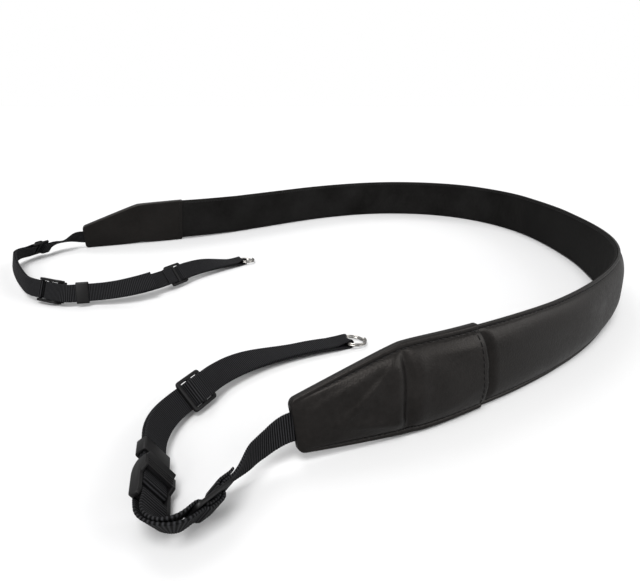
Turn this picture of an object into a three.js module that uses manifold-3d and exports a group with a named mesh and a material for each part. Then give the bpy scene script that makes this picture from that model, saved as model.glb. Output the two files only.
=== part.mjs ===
// Shoulder strap in leather and webbing, lying open on a table
// Millimetres, +Z up. The padded band stands on its long edge in an open loop,
// and a webbing tail with three plastic fittings and a split ring lies at each of its ends.
import * as THREE from 'three';
import { mergeVertices } from 'three/addons/utils/BufferGeometryUtils.js';
import Module from 'manifold-3d';

const wasm = await Module();
wasm.setup();

// Padded band: leather over foam in front, a thin lining behind
const padLength = 1040;
const padWidth = 42;
const padCrown = 6;
const padEdge = 2.2;
const padEdgeWidth = 3.6;
const padBevel = 0.4;
const liningThickness = 1.2;
const liningInset = 0.8;

// Leather caps sewn over both ends of the band
const capTaper = 52;
const capSleeve = 42;
const capWall = 1.1;
const capEndWidth = 23;
const capEndThickness = 4.2;
const capOverlap = 14;
const capCreaseDepth = 1.1;
const capCreaseReach = 7;
const capEasing = 60;
const padStep = 15;
const frontEndRaise = 5;
const backEndRaise = 0.6;

// Webbing of the tails
const webWidth = 12.5;
const webThickness = 1.1;
const webSeat = 12;
const webStep = 6;

// Plastic fittings: sliders, ladder locks and keepers
const slotPlay = 0.4;
const railWidth = 1.8;
const sliderPitch = 7.2;
const sliderBar = 2.2;
const sliderThickness = 1.6;
const lockLength = 18;
const lockBarRadius = 1.1;
const lockRailHeight = 4.4;
const lockLipLength = 5;
const lockLipThickness = 1.5;
const keeperLength = 8;
const keeperWall = 1;

// Split rings
const ringRadius = 7.2;
const ringWire = 0.95;
const ringTurns = 2;
const ringTurnGap = 0.15;
const foldWidth = 10;

// Space that neighbours keep, and height kept over the table
const clearance = 0.3;
const floorGap = 0.15;

// Where the band starts, at the end of the front cap
const startX = -10.9;
const startY = 189.9;
const startHeading = 23.5;
const startLean = 11;

// Webbing beyond the keepers' middles, and how far its free end stands off the tail's middle line
const frontFreeLength = 67;
const frontFreeSpread = 6.2;
const backFreeLength = 46;
const backFreeSpread = 9;

// How the webbing crosses a slider: where it starts to rise past a bar's edge, how fast it rises,
// and its straight runs before and after
const crossingStart = 1.15;
const crossingRise = 1.4;
const crossingLead = 3;
const crossingEase = 10;

// Straight room that each fitting has on its tail, besides its own length
const fittingRoom = 3.5;

const capLength = capTaper + capSleeve;
const openLength = padLength - 2 * capLength;
const capOutset = capWall + clearance;
const layerStep = webThickness + clearance;
const slotHalf = webWidth / 2 + slotPlay;
const fittingHalf = slotHalf + railWidth;
const barReach = sliderThickness / 2 + clearance + webThickness / 2;
const stackReach = barReach + layerStep + webThickness / 2;
const lockTurn = lockBarRadius + clearance + webThickness / 2;
const ringHalf = ringTurns * (ringWire + ringTurnGap) / 2;
const ringTurnRadius = ringHalf + 2 * clearance + webThickness / 2;
const fittingStretch = {
  strapSlider: 2 * sliderPitch + sliderBar + fittingRoom,
  lock: lockLength + 2 * lockLipThickness + fittingRoom,
  keeper: keeperLength + 2 * layerStep + fittingRoom,
  ringSlider: 2 * sliderPitch + sliderBar + fittingRoom,
};

const { degToRad, lerp, smoothstep, clamp } = THREE.MathUtils;

// The band's way, a row for each stretch. run: its length, turn: degrees to the left,
// lean: degrees that the band leans inwards at the stretch's end
const padWay = [
  { run: capTaper, turn: 1, lean: 8 },
  { run: capSleeve, turn: 8, lean: 4 },
  { run: 0.093 * openLength, turn: 9, lean: 1 },
  { run: 0.093 * openLength, turn: 14, lean: 0 },
  { run: 0.093 * openLength, turn: 24, lean: 0 },
  { run: 0.093 * openLength, turn: 11, lean: 6 },
  { run: 0.093 * openLength, turn: 11, lean: 10 },
  { run: 0.093 * openLength, turn: 27, lean: 12 },
  { run: 0.093 * openLength, turn: 40, lean: 14 },
  { run: 0.093 * openLength, turn: 33, lean: 15 },
  { run: 0.093 * openLength, turn: 16, lean: 15 },
  { run: 0.093 * openLength, turn: 0, lean: 15 },
  { run: 0.07 * openLength, turn: -10, lean: 16 },
  { run: capSleeve, turn: -8, lean: 18 },
  { run: capTaper, turn: -3, lean: 18 },
];

// The tails' ways, a row for each bend or fitting. run, turn and lean as above, lift: height over
// the seat at the stretch's end. A stretch that holds a fitting is straight
const frontWay = [
  { run: 20, turn: 42, lean: 5, lift: 4 },
  { run: 16, turn: -12, lean: 36, lift: 0.4 },
  { holds: 'strapSlider' },
  { run: 16, turn: -130, lean: 34, lift: 0.3 },
  { holds: 'lock' },
  { holds: 'keeper' },
  { run: 36, turn: -38, lean: 42, lift: 0.4 },
  { holds: 'ringSlider' },
  { run: 66, turn: -38, lean: 86, lift: -0.2 },
  { run: 31, turn: -4, lean: 90, lift: -0.6 },
];
const backWay = [
  { run: 22, turn: 34, lean: 70, lift: 4 },
  { run: 14, turn: 18, lean: 42, lift: 0.4 },
  { holds: 'strapSlider' },
  { run: 30, turn: 50, lean: 12, lift: 0.4 },
  { run: 74, turn: 10, lean: 10, lift: 0.4 },
  { run: 18, turn: 26, lean: 22, lift: 0.3 },
  { holds: 'lock' },
  { run: 8, turn: 38, lean: 18, lift: 0.3 },
  { holds: 'keeper' },
  { run: 56, turn: 48, lean: 36, lift: 0.4 },
  { holds: 'ringSlider' },
  { run: 65, turn: -16, lean: 90, lift: -0.6 },
];

// The tails, by their sides. side: the side of the band that the fittings' fronts look to
const frontTail = layTail(frontWay, { side: -1, freeLength: frontFreeLength, freeSpread: frontFreeSpread });
const backTail = layTail(backWay, { side: 1, freeLength: backFreeLength, freeSpread: backFreeSpread });

// A tail's stretches, its length, and the middles of its fittings along it
function layTail(way, sizes) {
  const tail = { ...sizes, rows: [], length: 0 };
  let before = { lean: 0, lift: 0 };
  for (const row of way) {
    const stretch = row.holds ? { ...before, turn: 0, run: fittingStretch[row.holds] } : row;
    if (row.holds) tail[row.holds] = tail.length + stretch.run / 2;
    tail.rows.push(stretch);
    tail.length += stretch.run;
    before = stretch;
  }
  return tail;
}

// A place on a band: where it is, and its own three directions
function makeFrame(x, y, z, heading, lean) {
  const along = new THREE.Vector3(Math.cos(heading), Math.sin(heading), 0);
  const left = new THREE.Vector3(-along.y, along.x, 0);
  const up = new THREE.Vector3(0, 0, 1);
  const across = up.clone().multiplyScalar(Math.cos(lean)).addScaledVector(left, Math.sin(lean));
  const out = up.clone().multiplyScalar(Math.sin(lean)).addScaledVector(left, -Math.cos(lean));
  return { origin: new THREE.Vector3(x, y, z), along, across, out, heading, lean };
}

// A point a given distance along an arc that starts at (x, y)
function arcPoint(x, y, heading, bend, distance) {
  const half = bend * distance / 2;
  const chord = half === 0 ? distance : distance * Math.sin(half) / half;
  return [x + chord * Math.cos(heading + half), y + chord * Math.sin(heading + half)];
}

// Joins the stretches of a way into one function of the distance along it
function joinStretches(rows, start) {
  const stretches = [];
  let { x, y, heading, lean, lift } = start;
  let from = 0;
  for (const row of rows) {
    const bend = degToRad(row.turn) / row.run;
    const next = { lean: degToRad(row.lean), lift: row.lift ?? 0 };
    stretches.push({ from, run: row.run, x, y, heading, bend, lean, lift, next });
    [x, y] = arcPoint(x, y, heading, bend, row.run);
    heading += bend * row.run;
    lean = next.lean;
    lift = next.lift;
    from += row.run;
  }
  return (distance) => {
    const stretch = stretches.findLast((one) => one.from <= distance) ?? stretches[0];
    const gone = distance - stretch.from;
    const [px, py] = arcPoint(stretch.x, stretch.y, stretch.heading, stretch.bend, gone);
    const share = smoothstep(gone, 0, stretch.run);
    return {
      x: px, y: py, heading: stretch.heading + stretch.bend * gone,
      lean: lerp(stretch.lean, stretch.next.lean, share),
      lift: lerp(stretch.lift, stretch.next.lift, share),
    };
  };
}

// Straight lines through a short list of stops, each a distance and a value
function byStops(stops, distance) {
  const next = stops.findIndex(([at]) => at > distance);
  if (next < 0) return stops.at(-1)[1];
  if (next === 0) return stops[0][1];
  const [fromAt, fromValue] = stops[next - 1];
  const [toAt, toValue] = stops[next];
  return lerp(fromValue, toValue, (distance - fromAt) / (toAt - fromAt));
}

// Half the height that the band's foot needs, by the distance from the nearer end
function footHalf(fromEnd) {
  const capHalf = padWidth / 2 + capOutset;
  return byStops([
    [0, capEndWidth / 2], [capTaper, capHalf], [capLength, capHalf],
    [capLength + capEasing, padWidth / 2],
  ], fromEnd);
}

const padLine = joinStretches(padWay, {
  x: startX, y: startY, heading: degToRad(startHeading), lean: degToRad(startLean), lift: 0,
});

// The band's frame at a distance from its front end
function padFrame(distance) {
  const at = padLine(distance);
  const fromEnd = Math.min(distance, padLength - distance);
  const endRaise = distance < padLength / 2 ? frontEndRaise : backEndRaise;
  const raise = endRaise * clamp(1 - fromEnd / capTaper, 0, 1);
  const foot = footHalf(fromEnd) * Math.cos(at.lean) + padEdge * Math.max(0, -Math.sin(at.lean));
  return makeFrame(at.x, at.y, foot + raise, at.heading, at.lean);
}

// The same frame looked at the other way along the band
function turnedFrame(frame) {
  const { x, y, z } = frame.origin;
  return makeFrame(x, y, z, frame.heading + Math.PI, -frame.lean);
}

// Height of a tail's middle line when its fittings touch the table
function tailSeat(lean) {
  return fittingHalf * Math.abs(Math.cos(lean)) + stackReach * Math.abs(Math.sin(lean)) + floorGap;
}

// A tail's frame by the distance from the band's end; before it, the tail lies inside the cap
function makeTailFrame(tail, insideFrame) {
  const first = insideFrame(0);
  const start = {
    x: first.origin.x, y: first.origin.y, heading: first.heading, lean: first.lean,
    lift: first.origin.z - tailSeat(first.lean),
  };
  const line = joinStretches(tail.rows, start);
  return (distance) => {
    if (distance < 0) return insideFrame(-distance);
    const at = line(distance);
    return makeFrame(at.x, at.y, tailSeat(at.lean) + at.lift, at.heading, at.lean);
  };
}

// A point in a frame: out of its face, across the band and along it
function inFrame(frame, out, across, along = 0) {
  return frame.origin.clone()
    .addScaledVector(frame.out, out)
    .addScaledVector(frame.across, across)
    .addScaledVector(frame.along, along);
}

// A closed body from triangles, turned so that its faces look outwards
function closedGeometry(points, faces) {
  let volume = 0;
  for (const [a, b, c] of faces) {
    volume += points[a].dot(new THREE.Vector3().crossVectors(points[b], points[c]));
  }
  const turned = volume < 0 ? faces.map(([a, b, c]) => [a, c, b]) : faces;
  const geometry = new THREE.BufferGeometry();
  geometry.setAttribute('position', new THREE.Float32BufferAttribute(points.flatMap((p) => p.toArray()), 3));
  geometry.setIndex(turned.flat());
  geometry.computeVertexNormals();
  return geometry;
}

// A body through a row of rings with equally many points, closed at both ends
function loftRings(rings) {
  const count = rings[0].length;
  const points = rings.flat();
  const faces = [];
  for (let row = 0; row < rings.length - 1; row += 1) {
    for (let column = 0; column < count; column += 1) {
      const next = (column + 1) % count;
      const a = row * count + column;
      const b = row * count + next;
      faces.push([a, b, b + count], [a, b + count, a + count]);
    }
  }
  const lastRow = (rings.length - 1) * count;
  const firstMiddle = points.length;
  const lastMiddle = firstMiddle + 1;
  points.push(middleOf(rings[0]), middleOf(rings.at(-1)));
  for (let column = 0; column < count; column += 1) {
    const next = (column + 1) % count;
    faces.push([firstMiddle, next, column], [lastMiddle, lastRow + column, lastRow + next]);
  }
  return closedGeometry(points, faces);
}

function middleOf(ring) {
  const sum = ring.reduce((total, point) => total.add(point), new THREE.Vector3());
  return sum.divideScalar(ring.length);
}

// Distances from one to another in even steps no longer than the given one
function evenSteps(from, to, longest) {
  const count = Math.ceil((to - from) / longest);
  return Array.from({ length: count + 1 }, (_, step) => lerp(from, to, step / count));
}

// Outline of a padded band across its width, as pairs of out and across.
// back: how far it reaches behind, edge and crown: how far in front at its rims and its middle
function bandOutline({ half, back, edge, crown, rim }) {
  const dome = half - rim;
  const shoulder = half - 1.7 * rim;
  const flank = 0.5 * half;
  const upper = [
    [edge - padBevel, half], [edge, half - padBevel], [edge, dome],
    [lerp(edge, crown, 0.6), shoulder], [lerp(edge, crown, 0.92), flank],
  ];
  const lower = upper.map(([out, across]) => [out, -across]).reverse();
  return [
    [-back + padBevel, -half], [-back, -half + padBevel], [-back, 0],
    [-back, half - padBevel], [-back + padBevel, half],
    ...upper, [crown, 0], ...lower,
  ];
}

// Rings of a band's outline, with its lowest edge laid flat where it rests
function bandRing(frame, outline, flatten) {
  const half = Math.max(...outline.map(([, across]) => across));
  const foot = frame.origin.z - half * Math.cos(frame.lean);
  return outline.map(([out, across]) => {
    const point = inFrame(frame, out, across);
    if (across === -half) point.z = lerp(point.z, foot, flatten);
    if (point.z < foot) point.z = lerp(point.z, foot, flatten);
    return point;
  });
}

// How far the band lies flat on the table: not inside the caps
function flatShare(distance) {
  const fromEnd = Math.min(distance, padLength - distance);
  return smoothstep(fromEnd, capLength, capLength + capEasing / 2);
}

function padDistances() {
  const first = capLength - capOverlap;
  const inside = capLength - capOverlap / 2;
  return [
    first, inside, ...evenSteps(capLength, padLength - capLength, padStep),
    padLength - inside, padLength - first,
  ];
}

function padOuterGeometry() {
  const outline = bandOutline({
    half: padWidth / 2, back: 0, edge: padEdge, crown: padCrown, rim: padEdgeWidth,
  });
  return loftRings(padDistances().map((distance) => (
    bandRing(padFrame(distance), outline, flatShare(distance))
  )));
}

function padLiningGeometry() {
  const half = padWidth / 2 - liningInset;
  const near = -clearance;
  const far = -clearance - liningThickness;
  const outline = [
    [near, -half], [near, 0], [near, half], [far, half], [far, 0], [far, -half],
  ];
  return loftRings(padDistances().map((distance) => {
    const frame = padFrame(distance);
    return outline.map(([out, across]) => {
      const point = inFrame(frame, out, across);
      point.z = Math.max(point.z, floorGap);
      return point;
    });
  }));
}

// Depth of the soft crease where the cap starts to narrow
function creaseDepth(fromEnd) {
  return capCreaseDepth * Math.max(0, 1 - Math.abs(fromEnd - capTaper) / capCreaseReach);
}

// Outline of a cap at a distance from the band's end, a wall or more outside what it holds
function capOutline(fromEnd, inset) {
  const share = clamp(fromEnd / capTaper, 0, 1);
  const half = lerp(capEndWidth / 2, padWidth / 2 + capOutset, share);
  const back = lerp(capEndThickness / 2, liningThickness + 2 * clearance + capWall, share);
  const crown = lerp(capEndThickness / 2, padCrown + capOutset, share ** 0.8);
  const edge = lerp(capEndThickness / 2, padEdge + capOutset, share);
  return bandOutline({
    half: half - inset, back: back - inset, edge: edge - inset, rim: padEdgeWidth,
    crown: crown - inset - (inset > 0 ? 0 : creaseDepth(fromEnd)),
  });
}

// Outline of the narrow pocket that holds the webbing
function webPocketOutline() {
  return bandOutline({
    half: webWidth / 2 + 2 * clearance, back: webThickness / 2 + clearance,
    edge: webThickness / 2 + clearance, crown: webThickness / 2 + clearance, rim: padEdgeWidth / 2,
  });
}

// Sleeve that starts in the pocket for the pad, turns over its lip and ends in the webbing's pocket
function capGeometry(frameFromEnd) {
  const padPocket = [capLength - capOverlap - clearance, capLength - capOverlap / 2, capLength];
  const outer = [1, 0.9, 0.72, 0.6, 0.555, 0.53, 0.45, 0.3, 0.15, 0].map((share) => share * capLength);
  const webPocket = [0, webSeat / 2, webSeat + clearance];
  const rings = [
    ...padPocket.map((fromEnd) => bandRing(frameFromEnd(fromEnd), capOutline(capLength, capWall), 0)),
    ...outer.map((fromEnd) => bandRing(frameFromEnd(fromEnd), capOutline(fromEnd, 0), 1)),
    ...webPocket.map((fromEnd) => bandRing(frameFromEnd(fromEnd), webPocketOutline(), 0)),
  ];
  return loftRings(rings);
}

// Rounds the corners of a route with short curves and splits its long straights
function roundRoute(corners, reach) {
  const points = [new THREE.Vector2(...corners[0])];
  for (let index = 1; index < corners.length - 1; index += 1) {
    const [before, corner, after] = corners.slice(index - 1, index + 2)
      .map((pair) => new THREE.Vector2(...pair));
    const back = before.clone().sub(corner);
    const ahead = after.clone().sub(corner);
    const cut = Math.min(reach, back.length() / 2, ahead.length() / 2);
    const curve = new THREE.QuadraticBezierCurve(
      corner.clone().addScaledVector(back.normalize(), cut), corner,
      corner.clone().addScaledVector(ahead.normalize(), cut),
    );
    points.push(...curve.getPoints(3));
  }
  points.push(new THREE.Vector2(...corners.at(-1)));
  return splitLongSteps(points);
}

function splitLongSteps(points) {
  const result = [points[0]];
  for (const point of points.slice(1)) {
    const from = result.at(-1);
    const length = from.distanceTo(point);
    if (length < clearance / 4) continue;
    const count = Math.ceil(length / webStep);
    for (let step = 1; step <= count; step += 1) result.push(from.clone().lerp(point, step / count));
  }
  return result;
}

// Corners of webbing that goes through a slider, round something beyond it and back to the
// slider's middle bar, where it ends. over: the side on which it crosses the middle bar
function sliderLoopCorners(slider, turn, radius, over) {
  const slope = sliderBar / 2 + crossingStart;
  const rise = crossingRise;
  const top = barReach + layerStep;
  const shift = layerStep * 0.69;
  const reach = Math.min(crossingEase, (turn - slider - sliderPitch) / 2);
  const pairs = [
    [slider - sliderPitch - slope - crossingLead, -barReach],
    [slider - sliderPitch + slope, -barReach],
    [slider - sliderPitch + slope + rise, top],
    [slider + sliderPitch / 2, top],
    [slider + sliderPitch - slope, barReach],
    [slider + sliderPitch + slope, barReach],
    [slider + sliderPitch + reach, Math.max(layerStep / 2, radius - reach)],
    [turn - reach, Math.max(layerStep / 2, radius - reach)],
    [turn - 2 * clearance, radius],
    [turn + radius, radius],
    [turn + radius, -radius],
    [turn - 2 * clearance, -radius],
    [turn - reach, -Math.max(layerStep / 2, radius - reach)],
    [slider + sliderPitch + reach, -Math.max(layerStep / 2, radius - reach)],
    [slider + sliderPitch + slope, -barReach],
    [slider + sliderPitch - slope, -barReach],
    [slider + sliderPitch - slope - rise, barReach],
    [slider - sliderPitch + slope + rise + shift, barReach],
    [slider - sliderPitch + slope + shift, -barReach - layerStep],
    [slider - sliderPitch - slope - crossingLead, -barReach - layerStep],
  ];
  return pairs.map(([at, out]) => [at, out * over]);
}

// Webbing along a route in its tail's own plane, with a bowed, gathered fold where it holds a ring
function webbingGeometry(frameAt, side, corners, fold) {
  const route = roundRoute(corners, ringTurnRadius);
  const rings = route.map((point, index) => {
    const before = route[Math.max(index - 1, 0)];
    const after = route[Math.min(index + 1, route.length - 1)];
    const heading = after.clone().sub(before).normalize();
    const frame = frameAt(point.x);
    const folded = fold ? smoothstep(point.x, fold.at - fold.reach, fold.at) : 0;
    const half = lerp(webWidth, foldWidth, folded) / 2;
    const bow = folded * ringBow();
    const place = (face, column) => inFrame(
      frame,
      side * (point.y + face * heading.x * webThickness / 2),
      column * half,
      -face * heading.y * webThickness / 2 - bow * (1 - column * column),
    );
    const columns = fold ? [-1, 0, 1] : [-1, 1];
    const ring = [
      ...columns.map((column) => place(1, column)),
      ...columns.reverse().map((column) => place(-1, column)),
    ];
    const lowest = Math.min(...ring.map((one) => one.z));
    const raise = Math.max(0, floorGap - lowest);
    return ring.map((one) => one.setZ(one.z + raise));
  });
  return loftRings(rings);
}

// How far the ring's wire bows inside the webbing's fold
function ringBow() {
  return ringRadius - Math.sqrt(ringRadius ** 2 - (foldWidth / 2) ** 2);
}

// Middle of the lock's bars along the tail: the fixed one and the one that the webbing slides on
function lockBars(tail) {
  return { fixed: tail.lock - lockLength / 2 + lockBarRadius, sliding: tail.lock };
}

// Sewn webbing: out of the cap, through the slider, round the lock's fixed bar and back
function strapWebbingGeometry(frameAt, tail) {
  const { fixed } = lockBars(tail);
  const corners = [
    [-webSeat, 0], [webSeat / 2, 0],
    ...sliderLoopCorners(tail.strapSlider, fixed, lockTurn, 1),
  ];
  return webbingGeometry(frameAt, tail.side, corners);
}

// Adjusting webbing: from its free end round the lock's sliding bar, then out to the ring and back
function ringWebbingGeometry(frameAt, tail) {
  const { sliding } = lockBars(tail);
  const near = layerStep / 2;
  const turn = tail.length - ringTurnRadius;
  const keeperEnd = tail.keeper + keeperLength;
  const freeEnd = tail.keeper + tail.freeLength;
  const corners = [
    [freeEnd, tail.freeSpread],
    [lerp(keeperEnd, freeEnd, 0.6), tail.freeSpread * 0.8],
    [keeperEnd, near],
    [tail.keeper - keeperLength, near],
    [sliding + lockTurn, lockTurn],
    [sliding - lockTurn, lockTurn],
    [sliding - lockTurn, -lockTurn],
    [sliding + lockTurn, -lockTurn],
    [tail.keeper - keeperLength, -near],
    [keeperEnd, -near],
    ...sliderLoopCorners(tail.ringSlider, turn, ringTurnRadius, -1),
  ];
  const fold = { at: turn, reach: foldWidth };
  return webbingGeometry(frameAt, tail.side, corners, fold);
}

// A rectangle with round corners, as a shape or as a hole
function roundedRectangle(Kind, left, right, half, radius) {
  const path = new Kind();
  const corners = [[left, -half], [right, -half], [right, half], [left, half]];
  const starts = [-Math.PI, -Math.PI / 2, 0, Math.PI / 2];
  corners.forEach(([x, y], index) => {
    const cx = x + (x === left ? radius : -radius);
    const cy = y + (y < 0 ? radius : -radius);
    path.absarc(cx, cy, radius, starts[index], starts[index] + Math.PI / 2, false);
  });
  path.closePath();
  return path;
}

// Flat slider with three bars and two slots
function sliderGeometry() {
  const end = sliderPitch + sliderBar / 2;
  const bevel = clearance;
  const shape = roundedRectangle(THREE.Shape, -end, end, fittingHalf, 1.6);
  for (const sign of [-1, 1]) {
    const inner = sliderBar / 2;
    const outer = sliderPitch - sliderBar / 2;
    const left = sign < 0 ? -outer : inner;
    shape.holes.push(roundedRectangle(THREE.Path, left, left + outer - inner, slotHalf, 0.5));
  }
  const geometry = new THREE.ExtrudeGeometry(shape, {
    depth: sliderThickness - 2 * bevel, bevelThickness: bevel, bevelSize: bevel,
    bevelOffset: -bevel, bevelSegments: 1, curveSegments: 1,
  });
  return geometry.translate(0, 0, bevel - sliderThickness / 2);
}

// Joins closed pieces into one solid
function unite(geometries) {
  const solids = geometries.map((geometry) => {
    const bare = geometry.index ? geometry.toNonIndexed() : geometry.clone();
    bare.deleteAttribute('normal');
    bare.deleteAttribute('uv');
    const merged = mergeVertices(bare, 1e-4);
    return new wasm.Manifold(new wasm.Mesh({
      numProp: 3,
      vertProperties: new Float32Array(merged.attributes.position.array),
      triVerts: new Uint32Array(merged.index.array),
    }));
  });
  const mesh = solids.reduce((total, solid) => total.add(solid)).getMesh();
  const geometry = new THREE.BufferGeometry();
  geometry.setAttribute('position', new THREE.Float32BufferAttribute(mesh.vertProperties, 3));
  geometry.setIndex(Array.from(mesh.triVerts));
  geometry.computeVertexNormals();
  return geometry;
}

// A side outline in the x-z plane, drawn out across the fitting
function drawnAcross(shape, from, to) {
  const geometry = new THREE.ExtrudeGeometry(shape, { depth: to - from, bevelEnabled: false, curveSegments: 4 });
  return geometry.rotateX(Math.PI / 2).translate(0, to, 0);
}

// Ladder lock: two rails, two round bars, and a lip over the webbing that leaves it
function ladderLockGeometry() {
  const start = -lockLength / 2 - lockBarRadius / 2;
  const end = lockLength / 2;
  const rail = lockRailHeight / 2;
  const lipTop = -lockTurn - webThickness / 2 - clearance;
  const lipStart = end - lockLipLength;
  const railShape = new THREE.Shape();
  railShape.moveTo(start, -rail * 0.6);
  railShape.lineTo(start + rail, -rail);
  railShape.lineTo(lipStart - rail, -rail);
  railShape.lineTo(lipStart, lipTop - lockLipThickness);
  railShape.lineTo(end, lipTop - lockLipThickness);
  railShape.lineTo(end, lipTop + rail);
  railShape.quadraticCurveTo(end - rail, rail, lipStart - rail, rail);
  railShape.lineTo(start + rail, rail);
  railShape.quadraticCurveTo(start, rail, start, 0);
  const lipShape = new THREE.Shape();
  lipShape.moveTo(lipStart, lipTop);
  lipShape.lineTo(lipStart, lipTop - lockLipThickness);
  lipShape.lineTo(end, lipTop - lockLipThickness);
  lipShape.lineTo(end + lockLipThickness, lipTop - 1.6 * lockLipThickness);
  lipShape.lineTo(end + lockLipThickness, lipTop - 0.6 * lockLipThickness);
  lipShape.lineTo(end - lockLipThickness, lipTop);
  const bar = (x) => new THREE.CylinderGeometry(lockBarRadius, lockBarRadius, 2 * slotHalf + railWidth, 10)
    .translate(x, 0, 0);
  return unite([
    drawnAcross(railShape, slotHalf, fittingHalf),
    drawnAcross(railShape, -fittingHalf, -slotHalf),
    bar(-lockLength / 2 + lockBarRadius),
    bar(0),
    drawnAcross(lipShape, -fittingHalf + railWidth / 2, fittingHalf - railWidth / 2),
  ]);
}

// Keeper: a short rectangular loop round both layers
function keeperGeometry() {
  const holeHalf = layerStep / 2 + webThickness / 2 + clearance;
  const half = holeHalf + keeperWall;
  const shape = roundedRectangle(THREE.Shape, -half, half, slotHalf + keeperWall, 1.2);
  shape.holes.push(roundedRectangle(THREE.Path, -holeHalf, holeHalf, slotHalf, 0.5));
  const geometry = new THREE.ExtrudeGeometry(shape, { depth: keeperLength, bevelEnabled: false, curveSegments: 1 });
  return geometry.translate(0, 0, -keeperLength / 2).rotateY(Math.PI / 2);
}

// Split ring: round wire wound twice
function splitRingGeometry() {
  const perTurn = 24;
  const sides = 5;
  const pitch = ringWire + ringTurnGap;
  const rings = [];
  for (let step = 0; step <= ringTurns * perTurn; step += 1) {
    const angle = step / perTurn * 2 * Math.PI;
    const height = pitch * (step / perTurn - ringTurns / 2);
    rings.push(Array.from({ length: sides }, (_, side) => {
      const around = side / sides * 2 * Math.PI;
      const radius = ringRadius + ringWire / 2 * Math.cos(around);
      return new THREE.Vector3(
        radius * Math.cos(angle), radius * Math.sin(angle), height + ringWire / 2 * Math.sin(around),
      );
    }));
  }
  return loftRings(rings);
}

// Materials
function leather() {
  return new THREE.MeshStandardMaterial({ color: 0x2a2727, roughness: 0.55, metalness: 0 });
}

function liningCloth() {
  return new THREE.MeshStandardMaterial({ color: 0x1c1c1c, roughness: 0.85, metalness: 0 });
}

function webbing() {
  return new THREE.MeshStandardMaterial({ color: 0x141213, roughness: 0.8, metalness: 0 });
}

function blackPlastic() {
  return new THREE.MeshStandardMaterial({ color: 0x1e1d1e, roughness: 0.45, metalness: 0 });
}

function ringSteel() {
  return new THREE.MeshStandardMaterial({ color: 0xc8c6c2, roughness: 0.2, metalness: 1 });
}

function addMesh(group, name, geometry, material) {
  const mesh = new THREE.Mesh(geometry, material);
  mesh.name = name;
  group.add(mesh);
  return mesh;
}

// Puts a fitting, drawn flat round its own middle, on the tail
function seatOn(mesh, frame, side) {
  const basis = new THREE.Matrix4().makeBasis(
    frame.along, frame.across.clone().multiplyScalar(side), frame.out.clone().multiplyScalar(side),
  );
  mesh.quaternion.setFromRotationMatrix(basis);
  mesh.position.copy(frame.origin);
}

// The ring hangs in the webbing's fold and tips until its far side touches the table
function seatRing(mesh, frameAt, tail) {
  const turn = tail.length - ringTurnRadius;
  const frame = frameAt(turn);
  const reach = ringRadius - ringBow();
  const wireHalf = ringWire / 2;
  const drop = Math.max(0, frame.origin.z - ringHalf - wireHalf - floorGap);
  const tip = Math.asin(clamp(drop / (reach + ringRadius + wireHalf), 0, 1));
  const along = frame.along.clone().applyAxisAngle(frame.across, tip * Math.sign(frame.out.z));
  const out = new THREE.Vector3().crossVectors(along, frame.across);
  mesh.quaternion.setFromRotationMatrix(new THREE.Matrix4().makeBasis(along, frame.across, out));
  mesh.position.copy(frame.origin).addScaledVector(along, reach);
}

function addTail(group, place, tail, insideFrame) {
  const frameAt = makeTailFrame(tail, insideFrame);
  addMesh(group, `strap_webbing_${place}`, strapWebbingGeometry(frameAt, tail), webbing());
  addMesh(group, `ring_webbing_${place}`, ringWebbingGeometry(frameAt, tail), webbing());
  const strapSlider = addMesh(group, `strap_slider_${place}`, sliderGeometry(), blackPlastic());
  seatOn(strapSlider, frameAt(tail.strapSlider), tail.side);
  const lock = addMesh(group, `ladder_lock_${place}`, ladderLockGeometry(), blackPlastic());
  seatOn(lock, frameAt(tail.lock), tail.side);
  const keeper = addMesh(group, `keeper_${place}`, keeperGeometry(), blackPlastic());
  seatOn(keeper, frameAt(tail.keeper), tail.side);
  const ringSlider = addMesh(group, `ring_slider_${place}`, sliderGeometry(), blackPlastic());
  seatOn(ringSlider, frameAt(tail.ringSlider), tail.side);
  const ring = addMesh(group, `split_ring_${place}`, splitRingGeometry(), ringSteel());
  seatRing(ring, frameAt, tail);
}

function buildStrap() {
  const strap = new THREE.Group();
  addMesh(strap, 'pad_outer', padOuterGeometry(), leather());
  addMesh(strap, 'pad_lining', padLiningGeometry(), liningCloth());
  addMesh(strap, 'end_cap_front', capGeometry((fromEnd) => padFrame(fromEnd)), leather());
  addMesh(strap, 'end_cap_back', capGeometry((fromEnd) => padFrame(padLength - fromEnd)), leather());
  addTail(strap, 'front', frontTail, (inside) => turnedFrame(padFrame(inside)));
  addTail(strap, 'back', backTail, (inside) => padFrame(padLength - inside));
  return strap;
}

// The origin is the middle of the strap's footprint, on the table
const strap = buildStrap();
strap.updateMatrixWorld(true);
const bounds = new THREE.Box3().setFromObject(strap, true);
const middle = bounds.getCenter(new THREE.Vector3());
strap.position.set(-middle.x, -middle.y, -bounds.min.z);

const model = new THREE.Group();
model.add(strap);

export default model;
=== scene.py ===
import math

import bmesh
import bpy
import numpy as np
from bpy.props import FloatProperty, FloatVectorProperty, PointerProperty
from mathutils import Matrix


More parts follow.
